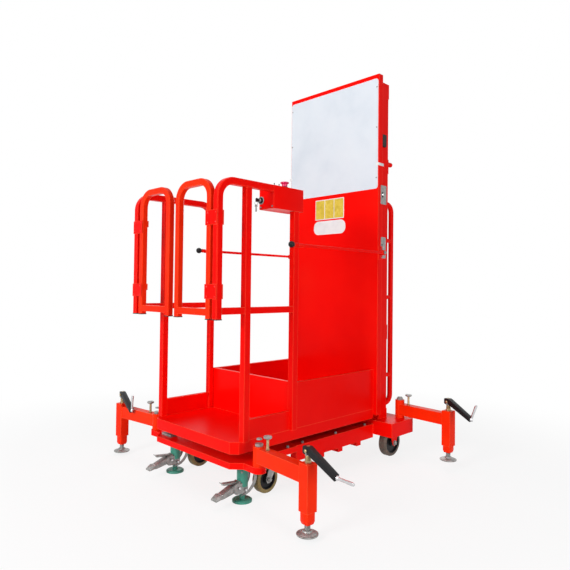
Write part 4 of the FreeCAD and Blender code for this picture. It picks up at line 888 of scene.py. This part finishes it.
# two toggles in front of the button, on the box's lid
toggle = turnPiece("toggle", [
    (0.0050, 0), (0.0052, 0.0010), (0.0052, 0.0030), (0.0030, 0.0036), (0.0020, 0.0050), (0.0016, 0.0100),
    (0.0024, 0.0120), (0.0022, 0.0140), (0.0012, 0.0148),
], 20)
for i, y in enumerate(boxLook["toggleY"]):
    lever = copyPiece(toggle, "toggle_" + str(i + 1), shift(boxLook["toggleX"], y, boxHigh[2]))
    dress(lever, "platform", blackFinish)
dropMasters(toggle)
print("control box done")

# Floor lock pedals and pads

lockLook = {
    "wide": 0.034, "sheet": 0.003, "ribs": 7, "near": -0.0243, "step": -0.116, "tip": -0.154,
    "rootFoot": 0.056, "rootTop": 0.094, "stepFoot": 0.040, "stepTop": 0.060, "tipFoot": 0.037,
    "stepLong": 0.014, "stepGrow": (1.16, 1, 0.85), "tipFall": 0.010, "tipGrow": (0.92, 1, 0.40),
    "hollow": 0.016,
    "linkX": 0.0215, "linkThick": 0.0035, "linkY": (0.0475, 0.0635), "linkZ": (0.100, 0.150),
    # forward, down and growth of each run of the link
    "linkRuns": ((0.002, 0.016, 1.05), (0.008, 0.017, 1.08), (0.016, 0.017, 1.25), (0.022, 0.012, 1.35),
                 (0.020, 0.006, 1.0)),
    "cheekIn": 0.004, "cheekY": (-0.060, 0.016), "cheekZ": (0.034, 0.078), "cheekRise": 0.010,
    "cheekRound": 0.014, "studs": ((0.0015, 0.052), (-0.0345, 0.068)),
    "ribX": 0.0175, "ribY": -0.122, "ribZ": 0.0590, "ribStep": 0.0048, "ribFall": 0.0026,
    "tabX": 0.011, "tabY": (-0.112, -0.0243), "tabZ": (0.098, 0.1015), "tabFall": 0.010,
    "tabLip": (0.006, 0.004), "tabDeep": 0.006, "lugAt": (0.0165, -0.0165, 0.130),
}


def makePedal(look):
    # about the plunger's foot: sheet folded down on both sides, tip wider, turned down and ribbed
    half = look["wide"] / 2
    pedal = newBlock("pedal", (-half, look["step"], look["stepFoot"]), (half, look["near"], look["stepTop"]))
    for point in pedal.data.vertices:
        if point.co.y > look["near"] - 0.001:
            point.co.z = look["rootTop"] if point.co.z > look["stepFoot"] + 0.010 else look["rootFoot"]
    pickFaces(pedal, lambda at, way: way.y < -0.9)
    stepEnd = look["step"] - look["stepLong"]
    extrudeBy((0, -look["stepLong"], -0.001))
    resizeAbout((0, stepEnd, look["stepTop"]), look["stepGrow"])
    extrudeBy((0, look["tip"] - stepEnd, -look["tipFall"]))
    resizeAbout((0, look["tip"], look["tipFoot"] + 0.004), look["tipGrow"])
    pickFaces(pedal, lambda at, way: way.z < -0.5 and at.y > look["step"] - 0.002)
    insetBy(look["sheet"])
    extrudeBy((0, 0, look["hollow"]))
    leaveEdit()
    roundEdges(pedal, 0.0012, 2)
    return pedal


def makeRib(look):
    rib = newBlock("pedalRib", (-look["ribX"], -0.0014, -0.0012), (look["ribX"], 0.0014, 0.0020))
    roundEdges(rib, 0.0009, 2)
    return rib


def makeLink(look):
    # curved side link: from the plate above down and forward to the pedal's root
    half = look["linkThick"] / 2
    near, far = look["linkY"]
    foot, top = look["linkZ"]
    link = newBlock("lockLink", (-half, near, foot), (half, far, top))
    pickFaces(link, lambda at, way: way.z < -0.9)
    for forward, down, grow in look["linkRuns"]:
        extrudeBy((0, -forward, -down))
        bpy.ops.transform.resize(value=(1, grow, 1))
    leaveEdit()
    roundEdges(link, 0.0010, 2)
    return link


def makeCheek(look):
    # side plate of the pedal's root, with its corners rounded and its rim raised
    half = look["linkThick"] / 2
    near, far = look["cheekY"]
    foot, top = look["cheekZ"]
    cheek = newBlock("lockCheek", (-half, near, foot), (half, far, top))
    for point in cheek.data.vertices:
        if point.co.y < 0:
            point.co.z += look["cheekRise"]
    pickEdges(cheek, lambda a, b: abs(a.x - b.x) > look["linkThick"] * 0.9)
    bevelPicked(look["cheekRound"], 5)
    for side in (-1, 1):
        pickFaces(cheek, lambda at, way: way.x * side > 0.9)
        insetBy(0.0025)
        insetBy(0.0008, -0.0006)
        leaveEdit()
    return cheek


def makeTab(name, x, y, look):
    # release tab over the pedal: falls towards the plunger, its lip turned up, its underside boxed
    near, far = look["tabY"]
    foot, top = look["tabZ"]
    tab = newBlock(name, (x - look["tabX"], y + near, foot), (x + look["tabX"], y + far, top))
    middle = y + (near + far) / 2
    for point in tab.data.vertices:
        if point.co.y > middle:
            point.co.z -= look["tabFall"]
    pickFaces(tab, lambda at, way: way.y < -0.9)
    forward, up = look["tabLip"]
    extrudeBy((0, -forward, up))
    pickFaces(tab, lambda at, way: way.z < -0.9)
    insetBy(look["sheet"])
    extrudeBy((0, 0, -look["tabDeep"]))
    leaveEdit()
    roundEdges(tab, 0.0009, 2)
    return tab


pedalMaster = makePedal(lockLook)
ribMaster = makeRib(lockLook)
linkMaster = makeLink(lockLook)
cheekMaster = makeCheek(lockLook)
stud = turnPiece("lockStud", [
    (0.0045, -0.0285), (0.0060, -0.0275), (0.0060, -0.0245), (0.0030, -0.0240), (0.0030, 0.0240),
    (0.0060, 0.0245), (0.0060, 0.0275), (0.0045, 0.0285),
], 20)
lugScrew = turnPiece("lugScrew", [(0.0046, 0), (0.0048, 0.0008), (0.0044, 0.0026), (0.0026, 0.0036)], 16)
for side in ("left", "right"):
    low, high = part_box("lock_pad_" + side)
    x = (low[0] + high[0]) / 2
    y = (low[1] + high[1]) / 2
    at = shift(x, y, 0)
    parts = [(pedalMaster, "pedal_" + side, shift(0, 0, 0), zincFinish)]
    for i in range(lockLook["ribs"]):
        ribY = lockLook["ribY"] - lockLook["ribStep"] * i
        ribAt = shift(0, ribY, lockLook["ribZ"] - lockLook["ribFall"] * i)
        parts.append((ribMaster, "pedalRib_%s_%d" % (side, i + 1), ribAt, brightFinish))
    for edge in (-1, 1):
        label = "%s_%d" % (side, edge + 2)
        cheekX = lockLook["linkX"] - lockLook["cheekIn"]
        parts.append((linkMaster, "lockLink_" + label, shift(edge * lockLook["linkX"], 0, 0), zincFinish))
        parts.append((cheekMaster, "lockCheek_" + label, shift(edge * cheekX, 0, 0), zincFinish))
    for i, (studY, studZ) in enumerate(lockLook["studs"]):
        studAt = shift(0, studY, studZ) @ towards["+x"]
        parts.append((stud, "lockStud_%s_%d" % (side, i + 1), studAt, brightFinish))
    made = []
    for master, name, place, finish in parts:
        made.append(dress(copyPiece(master, name, at @ place), "base", finish))
    tab = makeTab("releaseTab_" + side, x, y, lockLook)
    made.append(dress(tab, "base", zincFinish))
    for piece in made:
        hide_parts("lock_pedals")
    lugAt = at @ shift(*lockLook["lugAt"]) @ spin(45, "Z") @ towards["-y"]
    dress(copyPiece(lugScrew, "lugScrew_" + side, lugAt), "base", zincFinish)
dropMasters(pedalMaster, ribMaster, linkMaster, cheekMaster, stud, lugScrew)
print("floor locks done")

# Guide plates, clip and knob beside the mast

mastLook = {
    "x": 0.331, "thick": 0.0030,
    "upper": (0.446, 0.4965, 1.378, 1.481), "lower": (0.450, 0.4925, 1.084, 1.199),
    "clipZ": (1.5855, 1.6000), "knobAt": (0.297, 0.5495, 1.617), "latchY": 0.462, "latchZ": 1.430,
    "slot": (0.006, 0.014), "bolt": (0.0045, 0.0075), "boltOut": 0.004, "clipY": (0.4190, 0.4250),
    "clipThick": 0.005, "clipBack": 0.043, "clipIn": 0.013,
    "screwY": 0.4600, "screwZ": (1.157, 1.128),
}


def makeGuidePlate(name, x, span, thick):
    yLow, yHigh, zLow, zHigh = span
    plate = newBlock(name, (x, yLow, zLow), (x + thick, yHigh, zHigh))
    pickEdges(plate, lambda a, b: abs(a.x - b.x) > thick * 0.9)
    bevelPicked(0.005, 3)
    pickFaces(plate, lambda at, way: way.x > 0.9)
    insetBy(0.0045)
    insetBy(0.0010, -0.0010)
    leaveEdit()
    return plate


sideX = mastLook["x"]
face = sideX + mastLook["thick"]
latchY, latchZ = mastLook["latchY"], mastLook["latchZ"]
clipLow, clipHigh = mastLook["clipZ"]
plateScrew = turnPiece("plateScrew", [(0.0040, 0), (0.0042, 0.0006), (0.0030, 0.0022)], 16)
for side, word in sides:
    mirrored = Matrix.Scale(side, 4, (1, 0, 0))
    made = []
    for level in ("upper", "lower"):
        plate = makeGuidePlate("guidePlate_%s_%s" % (level, word), sideX, mastLook[level], mastLook["thick"])
        made.append((plate, zincFinish))
    # painted shade: the latch slot's opening is a thin black block standing for the dark inside of the hole
    slotY, slotZ = mastLook["slot"]
    slot = newBlock("latchSlot_" + word, (face - 0.0008, latchY - slotY, latchZ - slotZ),
                    (face + 0.0006, latchY + slotY, latchZ + slotZ))
    roundEdges(slot, 0.0005, 1)
    made.append((slot, blackFinish))
    boltY, boltZ = mastLook["bolt"]
    bolt = newBlock("latchBolt_" + word, (face, latchY - boltY, latchZ - boltZ),
                    (face + mastLook["boltOut"], latchY + boltY, latchZ + boltZ))
    roundEdges(bolt, 0.0012, 2)
    made.append((bolt, brightFinish))
    for i, z in enumerate(mastLook["screwZ"]):
        screwAt = shift(face - 0.0012, mastLook["screwY"], z) @ towards["+x"]
        made.append((copyPiece(plateScrew, "plateScrew_%s_%d" % (word, i + 1), screwAt), blackFinish))
    clipFront, clipBend = mastLook["clipY"]
    clip = newBlock("boardClip_" + word, (sideX, clipFront, clipLow),
                    (sideX + mastLook["clipThick"], clipBend, clipHigh))
    pickFaces(clip, lambda at, way: way.y > 0.9)
    extrudeBy((0, mastLook["clipBack"], 0))
    pickFaces(clip, lambda at, way: way.x < -0.9 and at.y < clipBend)
    extrudeBy((-mastLook["clipIn"], 0, 0))
    leaveEdit()
    roundEdges(clip, 0.0012, 2)
    made.append((clip, plateFinish))
    for piece, finish in made:
        movePiece(piece, mirrored)
        dress(piece, "platform", finish)
dropMasters(plateScrew)
knob = turnPiece("mastKnob", [
    (0.0080, 0), (0.0080, 0.0080), (0.0120, 0.0090), (0.0132, 0.0120), (0.0132, 0.0360), (0.0120, 0.0400),
    (0.0060, 0.0415),
], 32)
movePiece(knob, shift(*mastLook["knobAt"]) @ towards["+y"])
dress(knob, "base", redFinish)
print("mast side fittings done")

# Sheet between the side beams, bolts on them and a rest under the deck

panLook = {
    "x": 0.264, "y": (-0.135, 0.440), "z": (0.152, 0.155), "panels": 6, "margin": 0.022, "bead": 0.003,
    "boltX": 0.288, "bolts": ((-0.2050, 0.187), (-0.1070, 0.190), (0.1350, 0.190), (0.3770, 0.190)),
    "rest": ((-0.282, -0.512, 0.187), (-0.206, -0.470, 0.1985)),
}
panX, panY, panZ = panLook["x"], panLook["y"], panLook["z"]
pan = newBlock("chassisPan", (-panX, panY[0], panZ[0]), (panX, panY[1], panZ[1]))
pickEdges(pan, lambda a, b: abs(a.y - b.y) > 0.1)
bpy.ops.mesh.subdivide(number_cuts=panLook["panels"] - 1)
pickFaces(pan, lambda at, way: abs(way.z) > 0.9)
bpy.ops.mesh.inset(thickness=panLook["margin"], depth=0.0, use_individual=True)
pickFaces(pan, lambda at, way: way.z > 0.9 and abs(at.x) < 0.01)
bpy.ops.mesh.inset(thickness=0.004, depth=panLook["bead"], use_individual=True)
dress(pan, "base", redFinish)
beamBolt = makeBolt(0.0062, 0.0085)
for side, word in sides:
    for i, (y, z) in enumerate(panLook["bolts"]):
        boltAt = shift(side * panLook["boltX"], y, z)
        dress(copyPiece(beamBolt, "beamBolt_%s_%d" % (word, i + 1), boltAt), "base", zincFinish, 25)
dropMasters(beamBolt)
restLow, restHigh = panLook["rest"]
rest = newBlock("deckRest", restLow, restHigh)
pickFaces(rest, lambda at, way: way.z > 0.9)
insetBy(0.004, 0.0020)
leaveEdit()
roundEdges(rest, 0.0015, 2)
dress(rest, "base", zincFinish)
print("chassis fittings done")

# Power unit behind the mast, lift chains and the cylinder's top

unitLook = {
    "faceBack": 0.0016, "slopeHigh": 0.060, "slope": 0.030, "seamZ": 0.345, "seam": 0.003, "round": 0.008,
    "coreIn": 0.004, "ventX": 0.115, "ventZ": (0.452, 0.512), "ventDeep": 0.006, "ribs": 6, "ribHalf": 0.0022,
    "plate": (0.060, 0.017), "plateZ": 0.275, "screwX": 0.168, "screwZ": (0.228, 0.330, 0.365, 0.515),
}


def makeUnitCover(low, high, look):
    # a moulded shell; the far face of its top leans towards the mast
    cover = newBlock("unitCover", low, (high[0], high[1], high[2] - look["slopeHigh"]))
    pickFaces(cover, lambda at, way: way.z > 0.9)
    extrudeBy((0, 0, look["slopeHigh"]))
    pickEdges(cover, lambda a, b: min(a.z, b.z) > high[2] - 0.001 and min(a.y, b.y) > high[1] - 0.001)
    bpy.ops.transform.translate(value=(0, -look["slope"], 0))
    return cover


def cutRecess(obj, low, high, depth):
    # a rectangular recess: the far face is cut along four planes, then its middle is pushed in
    for spot, normal in (((low[0], 0, 0), (1, 0, 0)), ((high[0], 0, 0), (1, 0, 0)),
                         ((0, 0, low[1]), (0, 0, 1)), ((0, 0, high[1]), (0, 0, 1))):
        pickFaces(obj, lambda at, way: way.y > 0.99)
        bpy.ops.mesh.bisect(plane_co=spot, plane_no=normal)
    pickFaces(obj, lambda at, way: way.y > 0.99 and low[0] < at.x < high[0] and low[1] < at.z < high[1])
    insetBy(0.003, -depth)
    leaveEdit()


def makeVentRibs(faceY, look):
    ventLow, ventHigh = look["ventZ"]
    step = (ventHigh - ventLow) / look["ribs"]
    ribX = look["ventX"] - 0.002
    ribs = []
    for i in range(look["ribs"]):
        z = ventLow + (i + 0.5) * step
        rib = newBlock("ventRib_" + str(i + 1), (-ribX, faceY - 0.0065, z - look["ribHalf"]),
                       (ribX, faceY - 0.0012, z + look["ribHalf"]))
        for point in rib.data.vertices:
            if point.co.y > faceY - 0.003:
                point.co.z -= 0.0020
        roundEdges(rib, 0.0006, 2)
        ribs.append(rib)
    return ribs


unitLow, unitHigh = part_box("power_unit")
faceY = unitHigh[1] - unitLook["faceBack"]  # the plate and the screws stand out to the node's own face
seamZ = unitLook["seamZ"]
coreIn = unitLook["coreIn"]
tray = newBlock("unitTray", unitLow, (unitHigh[0], faceY, seamZ))
cover = makeUnitCover((unitLow[0], unitLow[1], seamZ + unitLook["seam"]),
                      (unitHigh[0], faceY, unitHigh[2]), unitLook)
core = newBlock("unitCore", (unitLow[0] + coreIn, unitLow[1], seamZ - 0.010),
                (unitHigh[0] - coreIn, faceY - coreIn, seamZ + 0.012))
for shell in (tray, cover):
    roundEdges(shell, unitLook["round"], 4, 20)
ventX, ventZ = unitLook["ventX"], unitLook["ventZ"]
cutRecess(cover, (-ventX, ventZ[0]), (ventX, ventZ[1]), unitLook["ventDeep"])
for piece in [tray, cover, core] + makeVentRibs(faceY, unitLook):
    dress(piece, "base", blackFinish)
    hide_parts("power_unit")
halfWide, halfHigh = unitLook["plate"]
unitPlate = newBlock("unitPlate", (-halfWide, faceY - 0.0020, unitLook["plateZ"] - halfHigh),
                     (halfWide, faceY + 0.0009, unitLook["plateZ"] + halfHigh))
pickEdges(unitPlate, lambda a, b: abs(a.y - b.y) > 0.002)
bevelPicked(0.005, 4)
leaveEdit()
roundEdges(unitPlate, 0.0003, 1)
dress(unitPlate, "base", plateFinish)
unitScrew = makeScrew(0.0048, 0.0020)
screwSpots = [(side * unitLook["screwX"], z) for side, word in sides for z in unitLook["screwZ"]]
for i, (x, z) in enumerate(screwSpots):
    piece = copyPiece(unitScrew, "unitScrew_" + str(i + 1), shift(x, faceY - 0.0006, z) @ towards["+y"])
    dress(piece, "base", zincFinish, 25)
dropMasters(unitScrew)

chainLook = {
    "x": 0.060, "half": 0.008, "link": 0.02385, "plateHalf": 0.0052, "plateThick": 0.0009, "gap": 0.0006,
    "pinRadius": 0.0024, "pinLong": 0.0014, "pinZ": (0.00477, 0.01908), "topZ": 1.988,
    "runs": ((0.4495, 0.530), (0.5095, 1.872)), "anchorX": 0.074, "anchorZ": (1.812, 1.842),
    "anchorDrop": 0.040, "rodTopZ": 1.853, "wiperRadius": 0.0222, "wiperThick": 0.0042,
}


def makeChainRun(name, x, y, lowZ, look):
    # outer plates and pins of a leaf chain along one straight run
    parts = []
    for side in (-1, 1):
        near = side * look["half"]
        far = near + side * look["plateThick"]
        plate = newBlock("linkPlate", (min(near, far), -look["plateHalf"], look["gap"]),
                         (max(near, far), look["plateHalf"], look["link"] - look["gap"]))
        pickEdges(plate, lambda a, b: abs(a.x - b.x) > look["plateThick"] / 2)
        bevelPicked(0.0040, 2)
        leaveEdit()
        parts.append(plate)
        for z in look["pinZ"]:
            clearPick()
            bpy.ops.mesh.primitive_cylinder_add(vertices=8, radius=look["pinRadius"], depth=look["pinLong"],
                                                rotation=(0, math.pi / 2, 0), location=(far, 0, z))
            parts.append(bpy.context.object)
    for part in parts:
        usePiece(part)
        bpy.ops.object.transform_apply(location=True, rotation=True, scale=True)
    run = joinPieces(name, parts)
    array = run.modifiers.new("links", "ARRAY")
    array.use_relative_offset = False
    array.use_constant_offset = True
    array.constant_offset_displace = (0, 0, look["link"])
    array.count = int((look["topZ"] - lowZ) / look["link"])
    usePiece(run)
    bpy.ops.object.modifier_apply(modifier="links")
    movePiece(run, shift(x, y, lowZ))
    return run


for side, word in sides:
    for i, (y, z) in enumerate(chainLook["runs"]):
        run = makeChainRun("chainLinks_%s_%d" % (word, i + 1), side * chainLook["x"], y, z, chainLook)
        dress(run, "inner_stage", oiledFinish)
# the anchor that holds the chains' ends, on the cylinder's top, and the ring that wipes the rod
barrelLow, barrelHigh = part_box("lift_barrel")
anchorX = chainLook["anchorX"]
anchorLow, anchorHigh = chainLook["anchorZ"]
anchor = newBlock("chainAnchor", (-anchorX, barrelHigh[1] - 0.006, anchorLow),
                  (anchorX, barrelHigh[1] + 0.002, anchorHigh))
pickEdges(anchor, lambda a, b: abs(a.y - b.y) > 0.006)
bevelPicked(0.006, 3)
pickFaces(anchor, lambda at, way: way.z < -0.9)
extrudeBy((0, 0, -chainLook["anchorDrop"]))
resizeAbout((0, barrelHigh[1], anchorLow - chainLook["anchorDrop"]), (0.30, 1, 1))
leaveEdit()
roundEdges(anchor, 0.0008, 2)
dress(anchor, "base", redFinish)
anchorRod = turnPiece("anchorRod", [
    (0.0030, -0.048), (0.0036, -0.046), (0.0036, -0.034), (0.0075, -0.034), (0.0075, -0.027),
    (0.0036, -0.027), (0.0036, -0.004), (0.0062, -0.003), (0.0062, 0.0),
], 6)
for side, word in sides:
    rodAt = shift(side * chainLook["x"], chainLook["runs"][1][0], chainLook["rodTopZ"])
    dress(copyPiece(anchorRod, "anchorRod_" + word, rodAt), "base", zincFinish, 25)
dropMasters(anchorRod)
clearPick()
bpy.ops.mesh.primitive_torus_add(major_radius=chainLook["wiperRadius"], minor_radius=chainLook["wiperThick"],
                                 major_segments=40, minor_segments=10)
wiper = bpy.context.object
wiper.name = "rodWiper"
movePiece(wiper, shift(0, (barrelLow[1] + barrelHigh[1]) / 2, barrelHigh[2]))
dress(wiper, "base", blackFinish)
print("power unit and chains done")

# Stage, light and camera

stageLook = {
    "floorSize": 60.0, "floorWhite": 0.92, "shadowShare": 0.17, "nearRadius": 1.1, "farRadius": 2.6,
    "skyTone": (0.95, 0.97, 1.0), "skyStrength": 0.24,
}


def seenRays(tree):
    # 1 for what the camera, a reflection or a ray through glass sees, 0 for the light on the object
    path = addNode(tree, "LightPath")
    seen = path.outputs["Is Camera Ray"]
    for ray in ("Is Glossy Ray", "Is Transmission Ray"):
        either = addNode(tree, "Math")
        either.operation = "MAXIMUM"
        tree.links.new(seen, either.inputs[0])
        tree.links.new(path.outputs[ray], either.inputs[1])
        seen = either.outputs[0]
    return seen


bpy.ops.mesh.primitive_plane_add(size=stageLook["floorSize"], location=(0, 0, 0))
floor = bpy.context.object
floor.name = "floor"
mat, tree, shader = newMaterial("studioFloor")
shader.inputs["Base Color"].default_value = (stageLook["floorWhite"],) * 3 + (1,)
shader.inputs["Roughness"].default_value = 0.9
shader.inputs["Specular IOR Level"].default_value = 0.1
glow = addNode(tree, "Emission", {"Strength": 1.0})
mix = addNode(tree, "MixShader")
# the floor shows the shadow near the truck and fades to the white of the backdrop away from it
away = addNode(tree, "VectorMath")
away.operation = "LENGTH"
tree.links.new(objectCoords(tree), away.inputs[0])
fade = addNode(tree, "MapRange", {
    "From Min": stageLook["nearRadius"], "From Max": stageLook["farRadius"],
    "To Min": 1 - stageLook["shadowShare"],
})
fade.interpolation_type = "SMOOTHSTEP"
tree.links.new(away.outputs["Value"], fade.inputs["Value"])
share = addNode(tree, "Math")
share.operation = "MULTIPLY"
tree.links.new(seenRays(tree), share.inputs[0])
tree.links.new(fade.outputs["Result"], share.inputs[1])
tree.links.new(share.outputs[0], mix.inputs["Fac"])
tree.links.new(shader.outputs["BSDF"], mix.inputs[1])
tree.links.new(glow.outputs["Emission"], mix.inputs[2])
tree.links.new(mix.outputs["Shader"], tree.nodes["Material Output"].inputs["Surface"])
floor.data.materials.append(mat)

world = bpy.data.worlds.new("studioWorld")
bpy.context.scene.world = world
world.use_nodes = True
tree = world.node_tree
sky = tree.nodes["Background"]
sky.inputs["Color"].default_value = (*stageLook["skyTone"], 1)
sky.inputs["Strength"].default_value = stageLook["skyStrength"]
white = addNode(tree, "Background", {"Color": (1, 1, 1, 1)})
mix = addNode(tree, "MixShader")
tree.links.new(seenRays(tree), mix.inputs["Fac"])
tree.links.new(sky.outputs["Background"], mix.inputs[1])
tree.links.new(white.outputs["Background"], mix.inputs[2])
tree.links.new(mix.outputs["Shader"], tree.nodes["World Output"].inputs["Surface"])

# place, aim, size, watts
lamps = [
    ("keyLamp", (0.4, -5.2, 2.4), (0, -0.2, 0.9), 1.8, 190),
    ("sideLamp", (4.8, -0.8, 1.1), (0, 0, 0.3), 1.6, 74),
    ("topLamp", (-0.4, -0.4, 5.0), (0, 0, 0.6), 2.4, 40),
    ("backLamp", (-2.6, 3.8, 3.0), (0, 0, 0.9), 2.6, 36),
]
for name, place, aim, size, watts in lamps:
    data = bpy.data.lights.new(name, "AREA")
    data.size = size
    data.energy = watts
    lamp = bpy.data.objects.new(name, data)
    lamp.location = place
    lamp.rotation_euler = (Vector(aim) - Vector(place)).to_track_quat("-Z", "Y").to_euler()
    bpy.context.collection.objects.link(lamp)

view = {
    "place": (2.0498, -1.9840, 0.9208),
    "yaw": 45.178,
    "pitch": 1.205,
    "roll": -0.658,
    "lens": 34.264,
    "shift": (-0.0004, -0.0161),
}
yaw = math.radians(view["yaw"])
pitch = math.radians(view["pitch"])
roll = math.radians(view["roll"])
ahead = Vector((-math.sin(yaw) * math.cos(pitch), math.cos(yaw) * math.cos(pitch), math.sin(pitch)))
level = Vector((math.cos(yaw), math.sin(yaw), 0))
down = ahead.cross(level)
right = math.cos(roll) * level + math.sin(roll) * down
under = -math.sin(roll) * level + math.cos(roll) * down
cameraData = bpy.data.cameras.new("photoCamera")
cameraData.lens = view["lens"]
cameraData.sensor_width = 36
cameraData.shift_x, cameraData.shift_y = view["shift"]
camera = bpy.data.objects.new("photoCamera", cameraData)
turn = Matrix((right, -under, -ahead)).transposed().to_4x4()
camera.matrix_world = Matrix.Translation(view["place"]) @ turn
bpy.context.collection.objects.link(camera)
bpy.context.scene.camera = camera
bpy.context.scene.view_settings.view_transform = "Standard"
